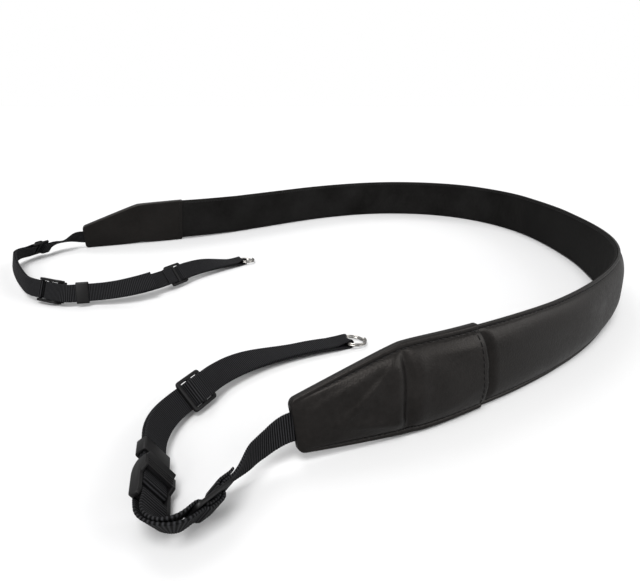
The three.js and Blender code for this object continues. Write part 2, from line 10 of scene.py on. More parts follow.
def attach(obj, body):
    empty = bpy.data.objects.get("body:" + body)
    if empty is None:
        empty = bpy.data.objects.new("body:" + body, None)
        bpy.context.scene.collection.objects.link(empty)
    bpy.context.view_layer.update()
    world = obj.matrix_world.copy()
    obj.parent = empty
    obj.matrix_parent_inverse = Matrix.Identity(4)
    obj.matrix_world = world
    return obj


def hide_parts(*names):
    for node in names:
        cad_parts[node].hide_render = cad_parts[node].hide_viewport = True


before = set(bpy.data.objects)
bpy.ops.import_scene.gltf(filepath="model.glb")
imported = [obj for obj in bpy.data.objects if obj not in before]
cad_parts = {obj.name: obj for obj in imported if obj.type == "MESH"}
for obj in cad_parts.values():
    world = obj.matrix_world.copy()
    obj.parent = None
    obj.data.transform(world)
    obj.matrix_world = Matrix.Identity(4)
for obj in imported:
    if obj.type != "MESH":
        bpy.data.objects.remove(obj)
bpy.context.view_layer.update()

bl_info = {
    "name": "Padded strap",
    "version": (1, 0, 0),
    "blender": (4, 5, 0),
    "location": "View3D > Sidebar > Strap",
    "description": "Leather shoulder strap with webbing tails, plastic fittings and split rings",
    "category": "Add Mesh",
}

MM = 0.001
TAU = 2 * math.pi
UP = np.array((0.0, 0.0, 1.0))

# Sizes that the frame's solids have, in millimetres
BAND_LENGTH = 1040
CAP_TAPER = 52
CAP_SLEEVE = 42
CAP_LENGTH = CAP_TAPER + CAP_SLEEVE
CAP_OVERLAP = 14
CAP_END_WIDTH = 23
CAP_END_THICKNESS = 4.2
CAP_WALL = 1.1
CAP_EASING = 60
FRONT_END_RAISE = 5
BACK_END_RAISE = 0.6
CLEARANCE = 0.3
CAP_OUTSET = CAP_WALL + CLEARANCE
LINING_INSET = 0.8
WEB_WIDTH = 12.5
WEB_THICKNESS = 1.1
WEB_SEAT = 12
FOLD_WIDTH = 10
SLOT_HALF = WEB_WIDTH / 2 + 0.4
RAIL_WIDTH = 1.8
FITTING_HALF = SLOT_HALF + RAIL_WIDTH
SLIDER_PITCH = 7.2
SLIDER_BAR = 2.2
SLIDER_THICKNESS = 1.6
LOCK_LENGTH = 18
LOCK_BAR_RADIUS = 1.1
LOCK_RAIL_HEIGHT = 4.4
LOCK_LIP_LENGTH = 5
LOCK_LIP_THICKNESS = 1.5
KEEPER_LENGTH = 8
KEEPER_WALL = 1
RING_RADIUS = 7.2
RING_WIRE = 0.95
RING_TURNS = 2
RING_TURN_GAP = 0.15
FLOOR_GAP = 0.15
FITTING_ROOM = 3.5
CROSSING_START = 1.15
CROSSING_RISE = 1.4
CROSSING_LEAD = 3
CROSSING_EASE = 10
LAYER_STEP = WEB_THICKNESS + CLEARANCE
BAR_REACH = SLIDER_THICKNESS / 2 + CLEARANCE + WEB_THICKNESS / 2
STACK_REACH = BAR_REACH + LAYER_STEP + WEB_THICKNESS / 2
LOCK_TURN = LOCK_BAR_RADIUS + CLEARANCE + WEB_THICKNESS / 2
RING_HALF = RING_TURNS * (RING_WIRE + RING_TURN_GAP) / 2
RING_TURN_RADIUS = RING_HALF + 2 * CLEARANCE + WEB_THICKNESS / 2
OPEN_LENGTH = BAND_LENGTH - 2 * CAP_LENGTH
COVERED = CAP_LENGTH - CAP_OVERLAP
CROSSING_SHIFT = 0.69 * LAYER_STEP

# The shown lining and caps are a little thinner than their solids, and the front cap is sheared
SHOWN_LINING = 0.9
SHOWN_WALL = 0.7
SHOWN_OUTSET = 0.9
CAP_CORNER = 1.35
CAP_SKEW = {"front": 0.1, "back": 0.0}
SKEW_REACH = 60
SHEATH_EASE = 8.0
CAP_END_ROUND = 2.6
CAP_END_THINNING = 0.35

# Shown leather: distance between its rings, its rounded rim, and how its padding fills up
RING_STEP = 1.8
BAND_CORNER = 0.55
LINING_ROUND = 0.35
UNFILLED = 0.08
FILL_START, FILL_STOP = 2.0, 7.0
# Gathers of the lining: their depth, and the bends in radians a millimetre between which they grow
GATHER_DEPTH = 0.35
GATHER_BENDS = (0.0035, 0.008)
# Seams: height of the thread over the leather, its sunk part's height, and how far apart the
# points of a stitch line lie along the band and along a cap
THREAD_LIFT = 0.1
SUNK_THREAD_LIFT = 0.12
BAND_SEAM_STEP = 3.0
CAP_SEAM_STEP = 2.0
CAP_SEAM = (14.0, CAP_LENGTH - 4.0)

# Relief of a cap: rows of place along it from the crease, height and width, for what runs
# across, then rows of start, stop, height and width for the folds. A place is a distance from
# the cap's end and one across.
CREASE = [(0, -2.7, 2.6), (-6, 0.5, 3.2), (6, 0.45, 3.4)]
CAP_FOLDS = [
    ((45, 13), (22, -2), 1.05, 1.45), ((46, 15.5), (8, 5), 0.7, 1.8),
    ((46, -13), (18, -5), 0.8, 1.9), ((36, 2), (12, -5), 0.6, 1.5),
    ((91, 13), (60, 15), 0.5, 2.2), ((88, -8), (66, -14), 0.4, 2.4),
]

# The band's start, and its way: rows of length, turn to the left in degrees and lean at the end
BAND_START = {"x": 6.9365, "y": -224.7897, "heading": 23.5, "lean": 11}
LONG_STRETCH = 0.093 * OPEN_LENGTH
LAST_STRETCH = 0.07 * OPEN_LENGTH
BAND_WAY = [
    (CAP_TAPER, 1, 8), (CAP_SLEEVE, 8, 4),
    *((LONG_STRETCH, turn, lean) for turn, lean in (
        (9, 1), (14, 0), (24, 0), (11, 6), (11, 10),
        (27, 12), (40, 14), (33, 15), (16, 15), (0, 15),
    )),
    (LAST_STRETCH, -10, 16), (CAP_SLEEVE, -8, 18), (CAP_TAPER, -3, 18),
]

# Straight stretches under the tails' fittings
FITTING_STRETCH = {
    "strap_slider": 2 * SLIDER_PITCH + SLIDER_BAR + FITTING_ROOM,
    "lock": LOCK_LENGTH + 2 * LOCK_LIP_THICKNESS + FITTING_ROOM,
    "keeper": KEEPER_LENGTH + 2 * LAYER_STEP + FITTING_ROOM,
    "ring_slider": 2 * SLIDER_PITCH + SLIDER_BAR + FITTING_ROOM,
}

# The tails' ways: rows of length, turn, lean at the end and height there over the seat.
# A name stands for the straight stretch under that fitting.
TAILS = {
    "front": {
        "side": -1, "free_length": 67, "free_spread": 6.2,
        "way": [
            (20, 42, 5, 4), (16, -12, 36, 0.4), "strap_slider", (16, -130, 34, 0.3), "lock",
            "keeper", (36, -38, 42, 0.4), "ring_slider", (66, -38, 86, -0.2), (31, -4, 90, -0.6),
        ],
    },
    "back": {
        "side": 1, "free_length": 46, "free_spread": 9,
        "way": [
            (22, 34, 70, 4), (14, 18, 42, 0.4), "strap_slider", (30, 50, 12, 0.4),
            (74, 10, 10, 0.4), (18, 26, 22, 0.3), "lock", (8, 38, 18, 0.3), "keeper",
            (56, 48, 36, 0.4), "ring_slider", (65, -16, 90, -0.6),
        ],
    },
}


# Ways and places along them
class Place:
    """A place on a band: where it is, and its own three directions."""

    def __init__(self, x, y, z, heading, lean):
        left = np.array((-math.sin(heading), math.cos(heading), 0.0))
        self.origin = np.array((x, y, z), dtype=float)
        self.along = np.array((math.cos(heading), math.sin(heading), 0.0))
        self.across = UP * math.cos(lean) + left * math.sin(lean)
        self.out = UP * math.sin(lean) - left * math.cos(lean)
        self.heading = heading
        self.lean = lean

    def at(self, out, across, along=0.0):
        return self.origin + self.out * out + self.across * across + self.along * along

    def turned(self):
        x, y, z = self.origin
        return Place(x, y, z, self.heading + math.pi, -self.lean)


def lerp(a, b, share):
    return a + (b - a) * share


def clamp(value, low=0.0, high=1.0):
    return min(max(value, low), high)


def smooth(value, low, high):
    share = clamp((value - low) / (high - low))
    return share * share * (3 - 2 * share)


def arc_point(x, y, heading, bend, distance):
    half = bend * distance / 2
    chord = distance if half == 0 else distance * math.sin(half) / half
    return x + chord * math.cos(heading + half), y + chord * math.sin(heading + half)


def join_stretches(rows, x, y, heading, lean, lift):
    """One function of the distance along a way, from its table of stretches."""
    stretches = []
    start = 0.0
    for run, turn, next_lean, *next_lift in rows:
        bend = math.radians(turn) / run
        after = (math.radians(next_lean), next_lift[0] if next_lift else 0.0)
        stretches.append((start, run, x, y, heading, bend, lean, lift, after))
        x, y = arc_point(x, y, heading, bend, run)
        heading += bend * run
        lean, lift = after
        start += run

    def line(distance):
        chosen = stretches[0]
        for stretch in stretches:
            if stretch[0] <= distance:
                chosen = stretch
        begin, run, sx, sy, sh, bend, slean, slift, (nlean, nlift) = chosen
        gone = distance - begin
        px, py = arc_point(sx, sy, sh, bend, gone)
        share = smooth(gone, 0, run)
        return px, py, sh + bend * gone, lerp(slean, nlean, share), lerp(slift, nlift, share)

    return line


def band_half():
    return bpy.context.scene.strap_band.width / MM / 2


def foot_half(from_end):
    """Half the height that the band's foot needs, by the distance from the nearer end."""
    half = band_half()
    stops = [0, CAP_TAPER, CAP_LENGTH, CAP_LENGTH + CAP_EASING]
    values = [CAP_END_WIDTH / 2, half + CAP_OUTSET, half + CAP_OUTSET, half]
    return float(np.interp(from_end, stops, values))


BAND_LINE = join_stretches(
    BAND_WAY, BAND_START["x"], BAND_START["y"],
    math.radians(BAND_START["heading"]), math.radians(BAND_START["lean"]), 0.0,
)


def band_place(distance):
    x, y, heading, lean, _ = BAND_LINE(distance)
    from_end = min(distance, BAND_LENGTH - distance)
    end_raise = FRONT_END_RAISE if distance < BAND_LENGTH / 2 else BACK_END_RAISE
    lifted = end_raise * clamp(1 - from_end / CAP_TAPER)
    foot = foot_half(from_end) * math.cos(lean)
    return Place(x, y, foot + lifted, heading, lean)


def cap_place(end):
    """The band's places by the distance from one of its ends."""
    if end == "front":
        return band_place
    return lambda from_end: band_place(BAND_LENGTH - from_end)


def tail_seat(lean):
    return FITTING_HALF * abs(math.cos(lean)) + STACK_REACH * abs(math.sin(lean)) + FLOOR_GAP


class Tail:
    """A tail's stretches, its length, and the middles of its fittings along it."""

    def __init__(self, end):
        table = TAILS[end]
        self.end = end
        self.side = table["side"]
        self.free_length = table["free_length"]
        self.free_spread = table["free_spread"]
        self.middles = {}
        self.length = 0.0
        rows = []
        lean = lift = 0
        for row in table["way"]:
            if isinstance(row, str):
                self.middles[row] = self.length + FITTING_STRETCH[row] / 2
                row = (FITTING_STRETCH[row], 0, lean, lift)
            rows.append(row)
            run, _, lean, lift = row
            self.length += run
        first = self.inside(0.0)
        self.line = join_stretches(
            rows, first.origin[0], first.origin[1], first.heading, first.lean,
            first.origin[2] - tail_seat(first.lean),
        )

    def inside(self, distance):
        place = cap_place(self.end)(distance)
        return place.turned() if self.end == "front" else place

    def place(self, distance):
        if distance < 0:
            return self.inside(-distance)
        x, y, heading, lean, lift = self.line(distance)
        return Place(x, y, tail_seat(lean) + lift, heading, lean)


# Meshes
def new_object(name, mesh):
    piece = bpy.data.objects.new(name, mesh)
    bpy.context.scene.collection.objects.link(piece)
    return piece


def plain_mesh(piece):
    """The mesh that a piece shows, with its modifiers or from its curve."""
    shown = piece.evaluated_get(bpy.context.evaluated_depsgraph_get())
    return bpy.data.meshes.new_from_object(shown)


def finish_piece(piece, material, slot, *nodes):
    piece.data.materials.clear()
    piece.data.materials.append(material)
    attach(piece, "root")
    if nodes:
        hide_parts(*nodes)
    return piece


def loft(name, rings, lengths, girths, smooth_faces=True):
    """A closed body through rings of points in millimetres, with a UV map in metres."""
    rings = np.asarray(rings, dtype=float) * MM
    rows, columns, _ = rings.shape
    points = rings.reshape(-1, 3)
    centres = np.array((rings[0].mean(axis=0), rings[-1].mean(axis=0)))
    first, last = len(points), len(points) + 1
    points = np.vstack((points, centres))
    row, column = np.meshgrid(np.arange(rows - 1), np.arange(columns), indexing="ij")
    row, column = row.ravel(), column.ravel()
    after = (column + 1) % columns
    quads = np.stack((
        row * columns + column, row * columns + after,
        (row + 1) * columns + after, (row + 1) * columns + column,
    ), axis=1)
    a, b, c = points[quads[:, 0]], points[quads[:, 1]], points[quads[:, 2]]
    middle = points.mean(axis=0)
    volume = np.einsum("ij,ij->i", a - middle, np.cross(b - middle, c - middle)).sum()
    quad_u = lengths[np.stack((row, row, row + 1, row + 1), axis=1)]
    quad_v = girths[np.stack((column, column + 1, column + 1, column), axis=1)]
    faces = quads.tolist()
    loops = np.stack((quad_u, quad_v), axis=2).reshape(-1, 2)
    fans, fan_loops = [], []
    for centre, base, level in ((first, 0, 0), (last, (rows - 1) * columns, rows - 1)):
        for index in range(columns):
            pair = [base + index, base + (index + 1) % columns]
            corners = [centre, pair[1], pair[0]] if centre == first else [centre, pair[0], pair[1]]
            fans.append(corners)
            fan_loops.extend([(lengths[level], girths[index])] * 3)
    faces += fans
    loops = np.vstack((loops, np.array(fan_loops))) * MM
    mesh = bpy.data.meshes.new(name)
    mesh.from_pydata(points.tolist(), [], faces)
    layer = mesh.uv_layers.new(name="UVMap")
    layer.data.foreach_set("uv", loops.astype(np.float32).ravel())
    if volume < 0:
        mesh.flip_normals()
    mesh.polygons.foreach_set("use_smooth", [smooth_faces] * len(mesh.polygons))
    mesh.update()
    return new_object(name, mesh)


def girth_of(outline):
    points = np.array(outline + outline[:1], dtype=float)
    steps = np.linalg.norm(np.diff(points, axis=0), axis=1)
    return np.concatenate(([0.0], np.cumsum(steps)))


def quarter(centre_out, centre_across, radius, start, count=3):
    """Points on a quarter of a circle, turning clockwise from a start in degrees."""
    angles = [math.radians(start - 90 * step / (count + 1)) for step in range(1, count + 1)]
    return [
        (centre_out + radius * math.cos(angle), centre_across + radius * math.sin(angle))
        for angle in angles
    ]


# Places of the outline's points over half a band, from its rim, on a band 42 mm wide
RIM_STEPS = [
    0.9, 1.7, 2.4, 2.85, 3.15, 3.4, 3.65, 3.95, 4.3, 4.9, 5.7, 6.7, 7.8, 9.0, 10.2, 11.4,
    12.6, 13.8, 15.0, 16.2, 17.4, 18.6, 19.8,
]
RIM_HALF = 21.0
DENSE_RIM = 3.5
PADDING_GAP = 0.5
# Stitch lines from the rims of the band and of its caps
BAND_STITCH = 2.1
CAP_STITCH = 2.6


def padded_outline(half, back, edge, crown, corner, groove, stitch):
    """Outline across a padded band: flat rims with a sunk stitch line, and a crowned middle."""
    def front(rim):
        padding = stitch + PADDING_GAP
        share = clamp((rim - padding) / (RIM_HALF - padding))
        dome = (1 - (1 - share) ** 2.9) ** 0.75
        sunk = groove * math.exp(-((rim - stitch) / 0.5) ** 2)
        return edge + (crown - edge) * dome - sunk

    scale = half / RIM_HALF
    steps = [step + stitch - DENSE_RIM for step in RIM_STEPS]
    kept = [step for step in steps if step > corner + 0.2]
    corner *= scale
    backs = [(-back, half * share) for share in (-0.93, -0.7, -0.4, 0.0, 0.4, 0.7, 0.93)]
    upper = [(front(step), half - step * scale) for step in kept]
    lower = [(front(step), -half + step * scale) for step in reversed(kept)]
    return [
        (-back, -half + corner), *backs, (-back, half - corner),
        *quarter(-back + corner, half - corner, corner, 180), (-back + corner, half),
        (edge - corner, half), *quarter(edge - corner, half - corner, corner, 90),
        *upper, (front(RIM_HALF), 0.0), *lower,
        *quarter(edge - corner, -half + corner, corner, 0), (edge - corner, -half),
        (-back + corner, -half), *quarter(-back + corner, -half + corner, corner, -90),
    ]


def outline_ring(place, outline, waves=None, along=None):
    ring = []
    for out, across in outline:
        lifted = out + (waves(out, across) if waves else 0.0)
        point = place.at(lifted, across, along(across) if along else 0.0)
        point[2] = max(point[2], 0.02)
        ring.append(point)
    return ring


def even(start, stop, step):
    return np.linspace(start, stop, max(2, int(math.ceil((stop - start) / step)) + 1))


# The leather band and its lining
def make_band():
    sizes = bpy.context.scene.strap_band
    half, edge, groove = band_half(), sizes.edge / MM, sizes.groove / MM
    distances = even(COVERED, BAND_LENGTH - COVERED, RING_STEP)
    rings = []
    for distance in distances:
        from_end = min(distance, BAND_LENGTH - distance) - CAP_LENGTH
        filled = UNFILLED + (1 - UNFILLED) * smooth(from_end, FILL_START, FILL_STOP)
        swell = 1 + 0.035 * math.sin(distance / 31 + 0.6) + 0.025 * math.sin(distance / 12.3)
        crown = lerp(edge, sizes.crown / MM, filled) * swell
        outline = padded_outline(half, 0.0, edge, crown, BAND_CORNER, groove, BAND_STITCH)

        def waves(out, across):
            if out <= edge:
                return 0.0
            return 0.12 * (1 - (across / half) ** 2) * math.sin(distance / 9.1 + across / 6.5)

        skew = CAP_SKEW["front" if distance < BAND_LENGTH / 2 else "back"]
        skew *= 1 - smooth(from_end, 0, SKEW_REACH)
        rings.append(outline_ring(
            band_place(distance), outline, waves, lambda across: -skew * across,
        ))
    piece = loft("band_leather", rings, distances, girth_of(outline))
    finish_piece(piece, smooth_leather(), "leather", "pad_outer")
    return piece


def lining_bend(distance):
    before, after = BAND_LINE(distance - 4)[2], BAND_LINE(distance + 4)[2]
    return abs(after - before) / 8


def make_lining():
    half = band_half() - LINING_INSET
    near, far = -CLEARANCE * 0.25, -CLEARANCE - SHOWN_LINING
    distances = even(COVERED, BAND_LENGTH - COVERED, RING_STEP)
    outline = [
        (near, -half), (near, half), (far + LINING_ROUND, half),
        *((far, across) for across in np.linspace(-half + 0.3, half - 0.3, 13)[::-1]),
        (far + LINING_ROUND, -half),
    ]
    rings = []
    for distance in distances:
        gather = GATHER_DEPTH * smooth(lining_bend(distance), *GATHER_BENDS)

        def gathered(out, across):
            if out > far:
                return 0.0
            ripple = math.sin(distance / 2.3 + 0.35 * math.sin(across / 3))
            return gather * (1 - (across / half) ** 2) * ripple

        rings.append(outline_ring(band_place(distance), outline, gathered))
    piece = loft("band_lining", rings, distances, girth_of(outline))
    finish_piece(piece, lining_leather(), "lining", "pad_lining")
    return piece


# The end caps
def cap_relief(from_end, across, half):
    """Relief of a cap: a soft crease across it where it narrows, and folds on both sides."""
    crease = CAP_TAPER - 1.0 + 1.2 * math.sin(across / 7.5)
    relief = 0.0
    for shift, height, width in CREASE:
        relief += height * math.exp(-((from_end - crease - shift) / width) ** 2)
    relief += 0.16 * math.sin(from_end / 5.3 + across / 4.1) * math.sin(across / 6.7 + 0.8)
    for start, stop, height, width in CAP_FOLDS:
        dx, dy = stop[0] - start[0], stop[1] - start[1]
        share = ((from_end - start[0]) * dx + (across - start[1]) * dy) / (dx * dx + dy * dy)
        near = clamp(share)
        away = math.hypot(from_end - start[0] - near * dx, across - start[1] - near * dy)
        fading = math.sin(math.pi * (0.15 + 0.7 * near))
        relief += height * math.exp(-(away / width) ** 2) * fading
    inner = half * (1 - CAP_STITCH / RIM_HALF)
    return relief * max(0.0, 1 - (across / inner) ** 6)


def cap_outline(from_end, inset=0.0):
    sizes = bpy.context.scene.strap_band
    soft = (from_end + CAP_TAPER - math.hypot(from_end - CAP_TAPER, SHEATH_EASE)) / 2
    share = clamp(soft / CAP_TAPER)
    half = lerp(CAP_END_WIDTH / 2, band_half() + SHOWN_OUTSET, share)
    back = lerp(CAP_END_THICKNESS / 2, SHOWN_LINING + CLEARANCE + SHOWN_OUTSET, share)
    crown = lerp(CAP_END_THICKNESS / 2 + 0.2, sizes.crown / MM + CAP_OUTSET, share ** 0.8)
    edge = lerp(CAP_END_THICKNESS / 2, sizes.edge / MM + SHOWN_OUTSET, share)
    shrink = 0.0
    if from_end < CAP_END_ROUND:
        rise = CAP_END_ROUND ** 2 - (CAP_END_ROUND - from_end) ** 2
        shrink = CAP_END_ROUND - math.sqrt(max(0.0, rise))
    half = half - inset - shrink
    thin = CAP_END_THINNING * shrink
    groove = 0.0 if inset else sizes.groove / MM * smooth(share, 0.0, 0.4)
    return padded_outline(
        half, back - inset - thin, edge - inset - thin, crown - inset - thin, CAP_CORNER, groove,
        CAP_STITCH,
    ), half


def pocket_outline():
    """Outline of the webbing's pocket, with as many points as the cap's outline has."""
    half, thick = WEB_WIDTH / 2 + 0.5, WEB_THICKNESS / 2 + 0.3
    full, _ = cap_outline(CAP_LENGTH)
    lowest = min(out for out, _ in full)
    rim = bpy.context.scene.strap_band.edge / MM + SHOWN_OUTSET - SHOWN_WALL
    widest = max(across for _, across in full)
    return [
        (lerp(-thick, thick, clamp((out - lowest) / (rim - lowest))), across / widest * half)
        for out, across in full
    ]


def make_cap(end):
    place_at = cap_place(end)
    full, half = cap_outline(CAP_LENGTH, SHOWN_WALL)
    rings, lengths = [], []

    def wavy(from_end):
        reach = 0.4 * smooth(from_end, CAP_LENGTH - 5, CAP_LENGTH)
        return lambda across: (
            reach * math.sin(across / 2.6) * math.sin(across / 5.1 + 1) - CAP_SKEW[end] * across
        )

    seat = COVERED - CLEARANCE - CAP_SKEW[end] * band_half()
    for from_end in (seat, CAP_LENGTH - 6, CAP_LENGTH - 0.5):
        rings.append(outline_ring(place_at(from_end), full, None, wavy(from_end)))
        lengths.append(2 * CAP_LENGTH - from_end)
    lip, _ = cap_outline(CAP_LENGTH, SHOWN_WALL / 2)
    rings.append(outline_ring(place_at(CAP_LENGTH + 0.1), lip, None, wavy(CAP_LENGTH)))
    lengths.append(CAP_LENGTH + 0.6)
    outside = np.concatenate((
        [CAP_LENGTH - 0.15], np.linspace(CAP_LENGTH - 0.7, 3.0, 150),
        [2.2, 1.5, 0.9, 0.4, 0.1, 0.0],
    ))
    for from_end in outside:
        outline, half = cap_outline(from_end)
        inward = 0.25 if from_end > CAP_LENGTH - 0.3 else 0.0
        rings.append(outline_ring(place_at(from_end), outline, lambda out, across: (
            (cap_relief(from_end, across, half) if out > 0.5 else 0.0) - math.copysign(inward, out)
        ), wavy(from_end)))
        lengths.append(from_end)
    pocket = pocket_outline()
    for from_end in (0.5, WEB_SEAT + 0.5 + CAP_SKEW[end] * WEB_WIDTH / 2):
        rings.append(outline_ring(place_at(from_end), pocket, None, wavy(from_end)))
        lengths.append(-from_end)
    piece = loft(f"cap_leather_{end}", rings, np.array(lengths), girth_of(full))
    finish_piece(piece, smooth_leather(), "leather", f"end_cap_{end}")
    return piece


# Webbing
def round_route(corners, reach, step):
    """A route through corners, rounded, as points and their distances along it."""
    corners = [np.array(corner, dtype=float) for corner in corners]
    points = [corners[0]]
    for before, corner, after in zip(corners, corners[1:], corners[2:]):
        back, ahead = before - corner, after - corner
        cut = min(reach, np.linalg.norm(back) / 2, np.linalg.norm(ahead) / 2)
        start = corner + back / np.linalg.norm(back) * cut
        stop = corner + ahead / np.linalg.norm(ahead) * cut
        for share in np.linspace(0, 1, 7):
            bent = start * (1 - share) ** 2 + 2 * corner * share * (1 - share)
            points.append(bent + stop * share ** 2)
    points.append(corners[-1])
    kept = [points[0]]
    for point in points[1:]:
        if np.linalg.norm(point - kept[-1]) > 0.05:
            kept.append(point)
    kept = np.array(kept)
    gone = np.concatenate(([0.0], np.cumsum(np.linalg.norm(np.diff(kept, axis=0), axis=1))))
    lengths = even(0.0, gone[-1], step)
    return np.stack([np.interp(lengths, gone, kept[:, axis]) for axis in (0, 1)], axis=1), lengths


def slider_loop(slider, turn, radius, over):
    """Corners of webbing through a slider, round something beyond it and back to the slider."""
    slope = SLIDER_BAR / 2 + CROSSING_START
    top = BAR_REACH + LAYER_STEP
    near, far = slider - SLIDER_PITCH, slider + SLIDER_PITCH
    reach = min(CROSSING_EASE, (turn - slider - SLIDER_PITCH) / 2)
    lead = max(LAYER_STEP / 2, radius - reach)
    pairs = [
        (near - slope - CROSSING_LEAD, -BAR_REACH),
        (near + slope, -BAR_REACH),
        (near + slope + CROSSING_RISE, top),
        (slider + SLIDER_PITCH / 2, top),
        (far - slope, BAR_REACH),
        (far + slope, BAR_REACH),
        (far + reach, lead),
        (turn - reach, lead),
        (turn - 2 * CLEARANCE, radius),
        (turn + radius, radius),
        (turn + radius, -radius),
        (turn - 2 * CLEARANCE, -radius),
        (turn - reach, -lead),
        (far + reach, -lead),
        (far + slope, -BAR_REACH),
        (far - slope, -BAR_REACH),
        (far - slope - CROSSING_RISE, BAR_REACH),
        (near + slope + CROSSING_RISE + CROSSING_SHIFT, BAR_REACH),
        (near + slope + CROSSING_SHIFT, -BAR_REACH - LAYER_STEP),
        (near - slope - CROSSING_LEAD, -BAR_REACH - LAYER_STEP),
    ]
    return [(at, out * over) for at, out in pairs]


def ring_bow():
    return RING_RADIUS - math.sqrt(RING_RADIUS ** 2 - (FOLD_WIDTH / 2) ** 2)


def web_outline():
    """Outline of the webbing's section: face (-1 to 1 through it) and share of its half width."""
    flat = np.linspace(-1, 1, 11) * 0.93
    top = [(1.0, value) for value in flat]
    low = [(-1.0, value) for value in flat[::-1]]
    edge = [(0.62, 0.985), (0.0, 1.0), (-0.62, 0.985)]
    return top + edge + low + [(-face, -column) for face, column in edge]


def make_webbing(name, tail, corners, fold, node):
    sizes = bpy.context.scene.strap_web
    route, lengths = round_route(corners, RING_TURN_RADIUS, sizes.rib_pitch / MM / 4)
    outline = web_outline()
    rings = []
    for index, point in enumerate(route):
        before, after = route[max(index - 1, 0)], route[min(index + 1, len(route) - 1)]
        heading = (after - before) / np.linalg.norm(after - before)
        place = tail.place(point[0])
        folded = smooth(point[0], fold["at"] - fold["reach"], fold["at"]) if fold else 0.0
        half = lerp(WEB_WIDTH, FOLD_WIDTH, folded) / 2
        bow = folded * ring_bow()
        ring = [place.at(
            tail.side * (point[1] + face * heading[0] * WEB_THICKNESS / 2),
            column * half,
            -face * heading[1] * WEB_THICKNESS / 2 - bow * (1 - column * column),
        ) for face, column in outline]
        lowest = min(one[2] for one in ring)
        if lowest < FLOOR_GAP:
            for one in ring:
                one[2] += FLOOR_GAP - lowest
        rings.append(ring)
    girths = girth_of([
        (face * WEB_THICKNESS / 2, column * WEB_WIDTH / 2) for face, column in outline
    ])
    piece = loft(name, rings, lengths, girths)
    store_along(piece, lengths, len(outline))
    run_tree(piece, rib_tree(), {
        "Pitch": sizes.rib_pitch, "Depth": sizes.rib_depth, "Material": ribbed_webbing(),
    })
    return finish_piece(piece, ribbed_webbing(), "webbing", node)


def store_along(piece, lengths, columns):
    """Keeps each point's distance along the webbing for the ribs."""
    values = np.concatenate((np.repeat(lengths, columns), (lengths[0], lengths[-1]))) * MM
    attribute = piece.data.attributes.new("along", "FLOAT", "POINT")
    attribute.data.foreach_set("value", values.astype(np.float32))


def make_strap_webbing(end):
    tail = Tail(end)
    fixed = tail.middles["lock"] - LOCK_LENGTH / 2 + LOCK_BAR_RADIUS
    corners = [(-WEB_SEAT, 0), (WEB_SEAT / 2, 0)]
    corners += slider_loop(tail.middles["strap_slider"], fixed, LOCK_TURN, 1)
    return make_webbing(f"strap_strand_{end}", tail, corners, None, f"strap_webbing_{end}")


def make_ring_webbing(end):
    tail = Tail(end)
    sliding, keeper = tail.middles["lock"], tail.middles["keeper"]
    near = LAYER_STEP / 2
    turn = tail.length - RING_TURN_RADIUS
    keeper_end = keeper + KEEPER_LENGTH
    free_end = keeper + tail.free_length
    corners = [
        (free_end, tail.free_spread),
        (lerp(keeper_end, free_end, 0.6), tail.free_spread * 0.8),
        (keeper_end, near),
        (keeper - KEEPER_LENGTH, near),
        (sliding + LOCK_TURN, LOCK_TURN),
        (sliding - LOCK_TURN, LOCK_TURN),
        (sliding - LOCK_TURN, -LOCK_TURN),
        (sliding + LOCK_TURN, -LOCK_TURN),
        (keeper - KEEPER_LENGTH, -near),
        (keeper_end, -near),
        *slider_loop(tail.middles["ring_slider"], turn, RING_TURN_RADIUS, -1),
    ]
    fold = {"at": turn, "reach": FOLD_WIDTH}
    return make_webbing(f"ring_strand_{end}", tail, corners, fold, f"ring_webbing_{end}")


# Plastic fittings
def rounded_corners(left, right, half, radius, count=5):
    corners = [(left, -half), (right, -half), (right, half), (left, half)]
    points = []
    for index, (x, y) in enumerate(corners):
        cx = x + (radius if x == left else -radius)
        cy = y + (radius if y < 0 else -radius)
        for step in range(count + 1):
            angle = math.radians(180 + 90 * index + 90 * step / count)
            points.append((cx + radius * math.cos(angle), cy + radius * math.sin(angle)))
    return points


def flat_body(name, outlines, thickness, bevel):
    """A mesh from flat outlines, the first one outside and the rest holes, with round edges."""
    curve = bpy.data.curves.new(name, "CURVE")
    curve.dimensions = "2D"
    curve.fill_mode = "BOTH"
    curve.extrude = (thickness / 2 - bevel) * MM
    curve.bevel_depth = bevel * MM
    curve.bevel_resolution = 2
    curve.offset = -bevel * MM
    for outline in outlines:
        spline = curve.splines.new("POLY")
        spline.points.add(len(outline) - 1)
        spline.use_cyclic_u = True
        for point, (x, y) in zip(spline.points, outline):
            point.co = (x * MM, y * MM, 0, 1)
    holder = new_object(name, curve)
    mesh = plain_mesh(holder)
    bpy.data.objects.remove(holder)
    tidy_mesh(mesh)
    return mesh


def tidy_mesh(mesh):
    body = bmesh.new()
    body.from_mesh(mesh)
    bmesh.ops.remove_doubles(body, verts=body.verts, dist=1e-6)
    bmesh.ops.recalc_face_normals(body, faces=body.faces)
    body.to_mesh(mesh)
    body.free()


def seat_mesh(mesh, place, side, order):
    """Puts a mesh drawn round its own middle on the tail, with its place in its points."""
    axes = {"along": place.along, "across": place.across * side, "out": place.out * side}
    basis = np.stack([axes[name] for name in order], axis=1)
    points = np.empty(len(mesh.vertices) * 3)
    mesh.vertices.foreach_get("co", points)
    points = points.reshape(-1, 3) @ basis.T + place.origin * MM
    mesh.vertices.foreach_set("co", points.ravel())
    if np.linalg.det(basis) < 0:
        mesh.flip_normals()
    mesh.update()


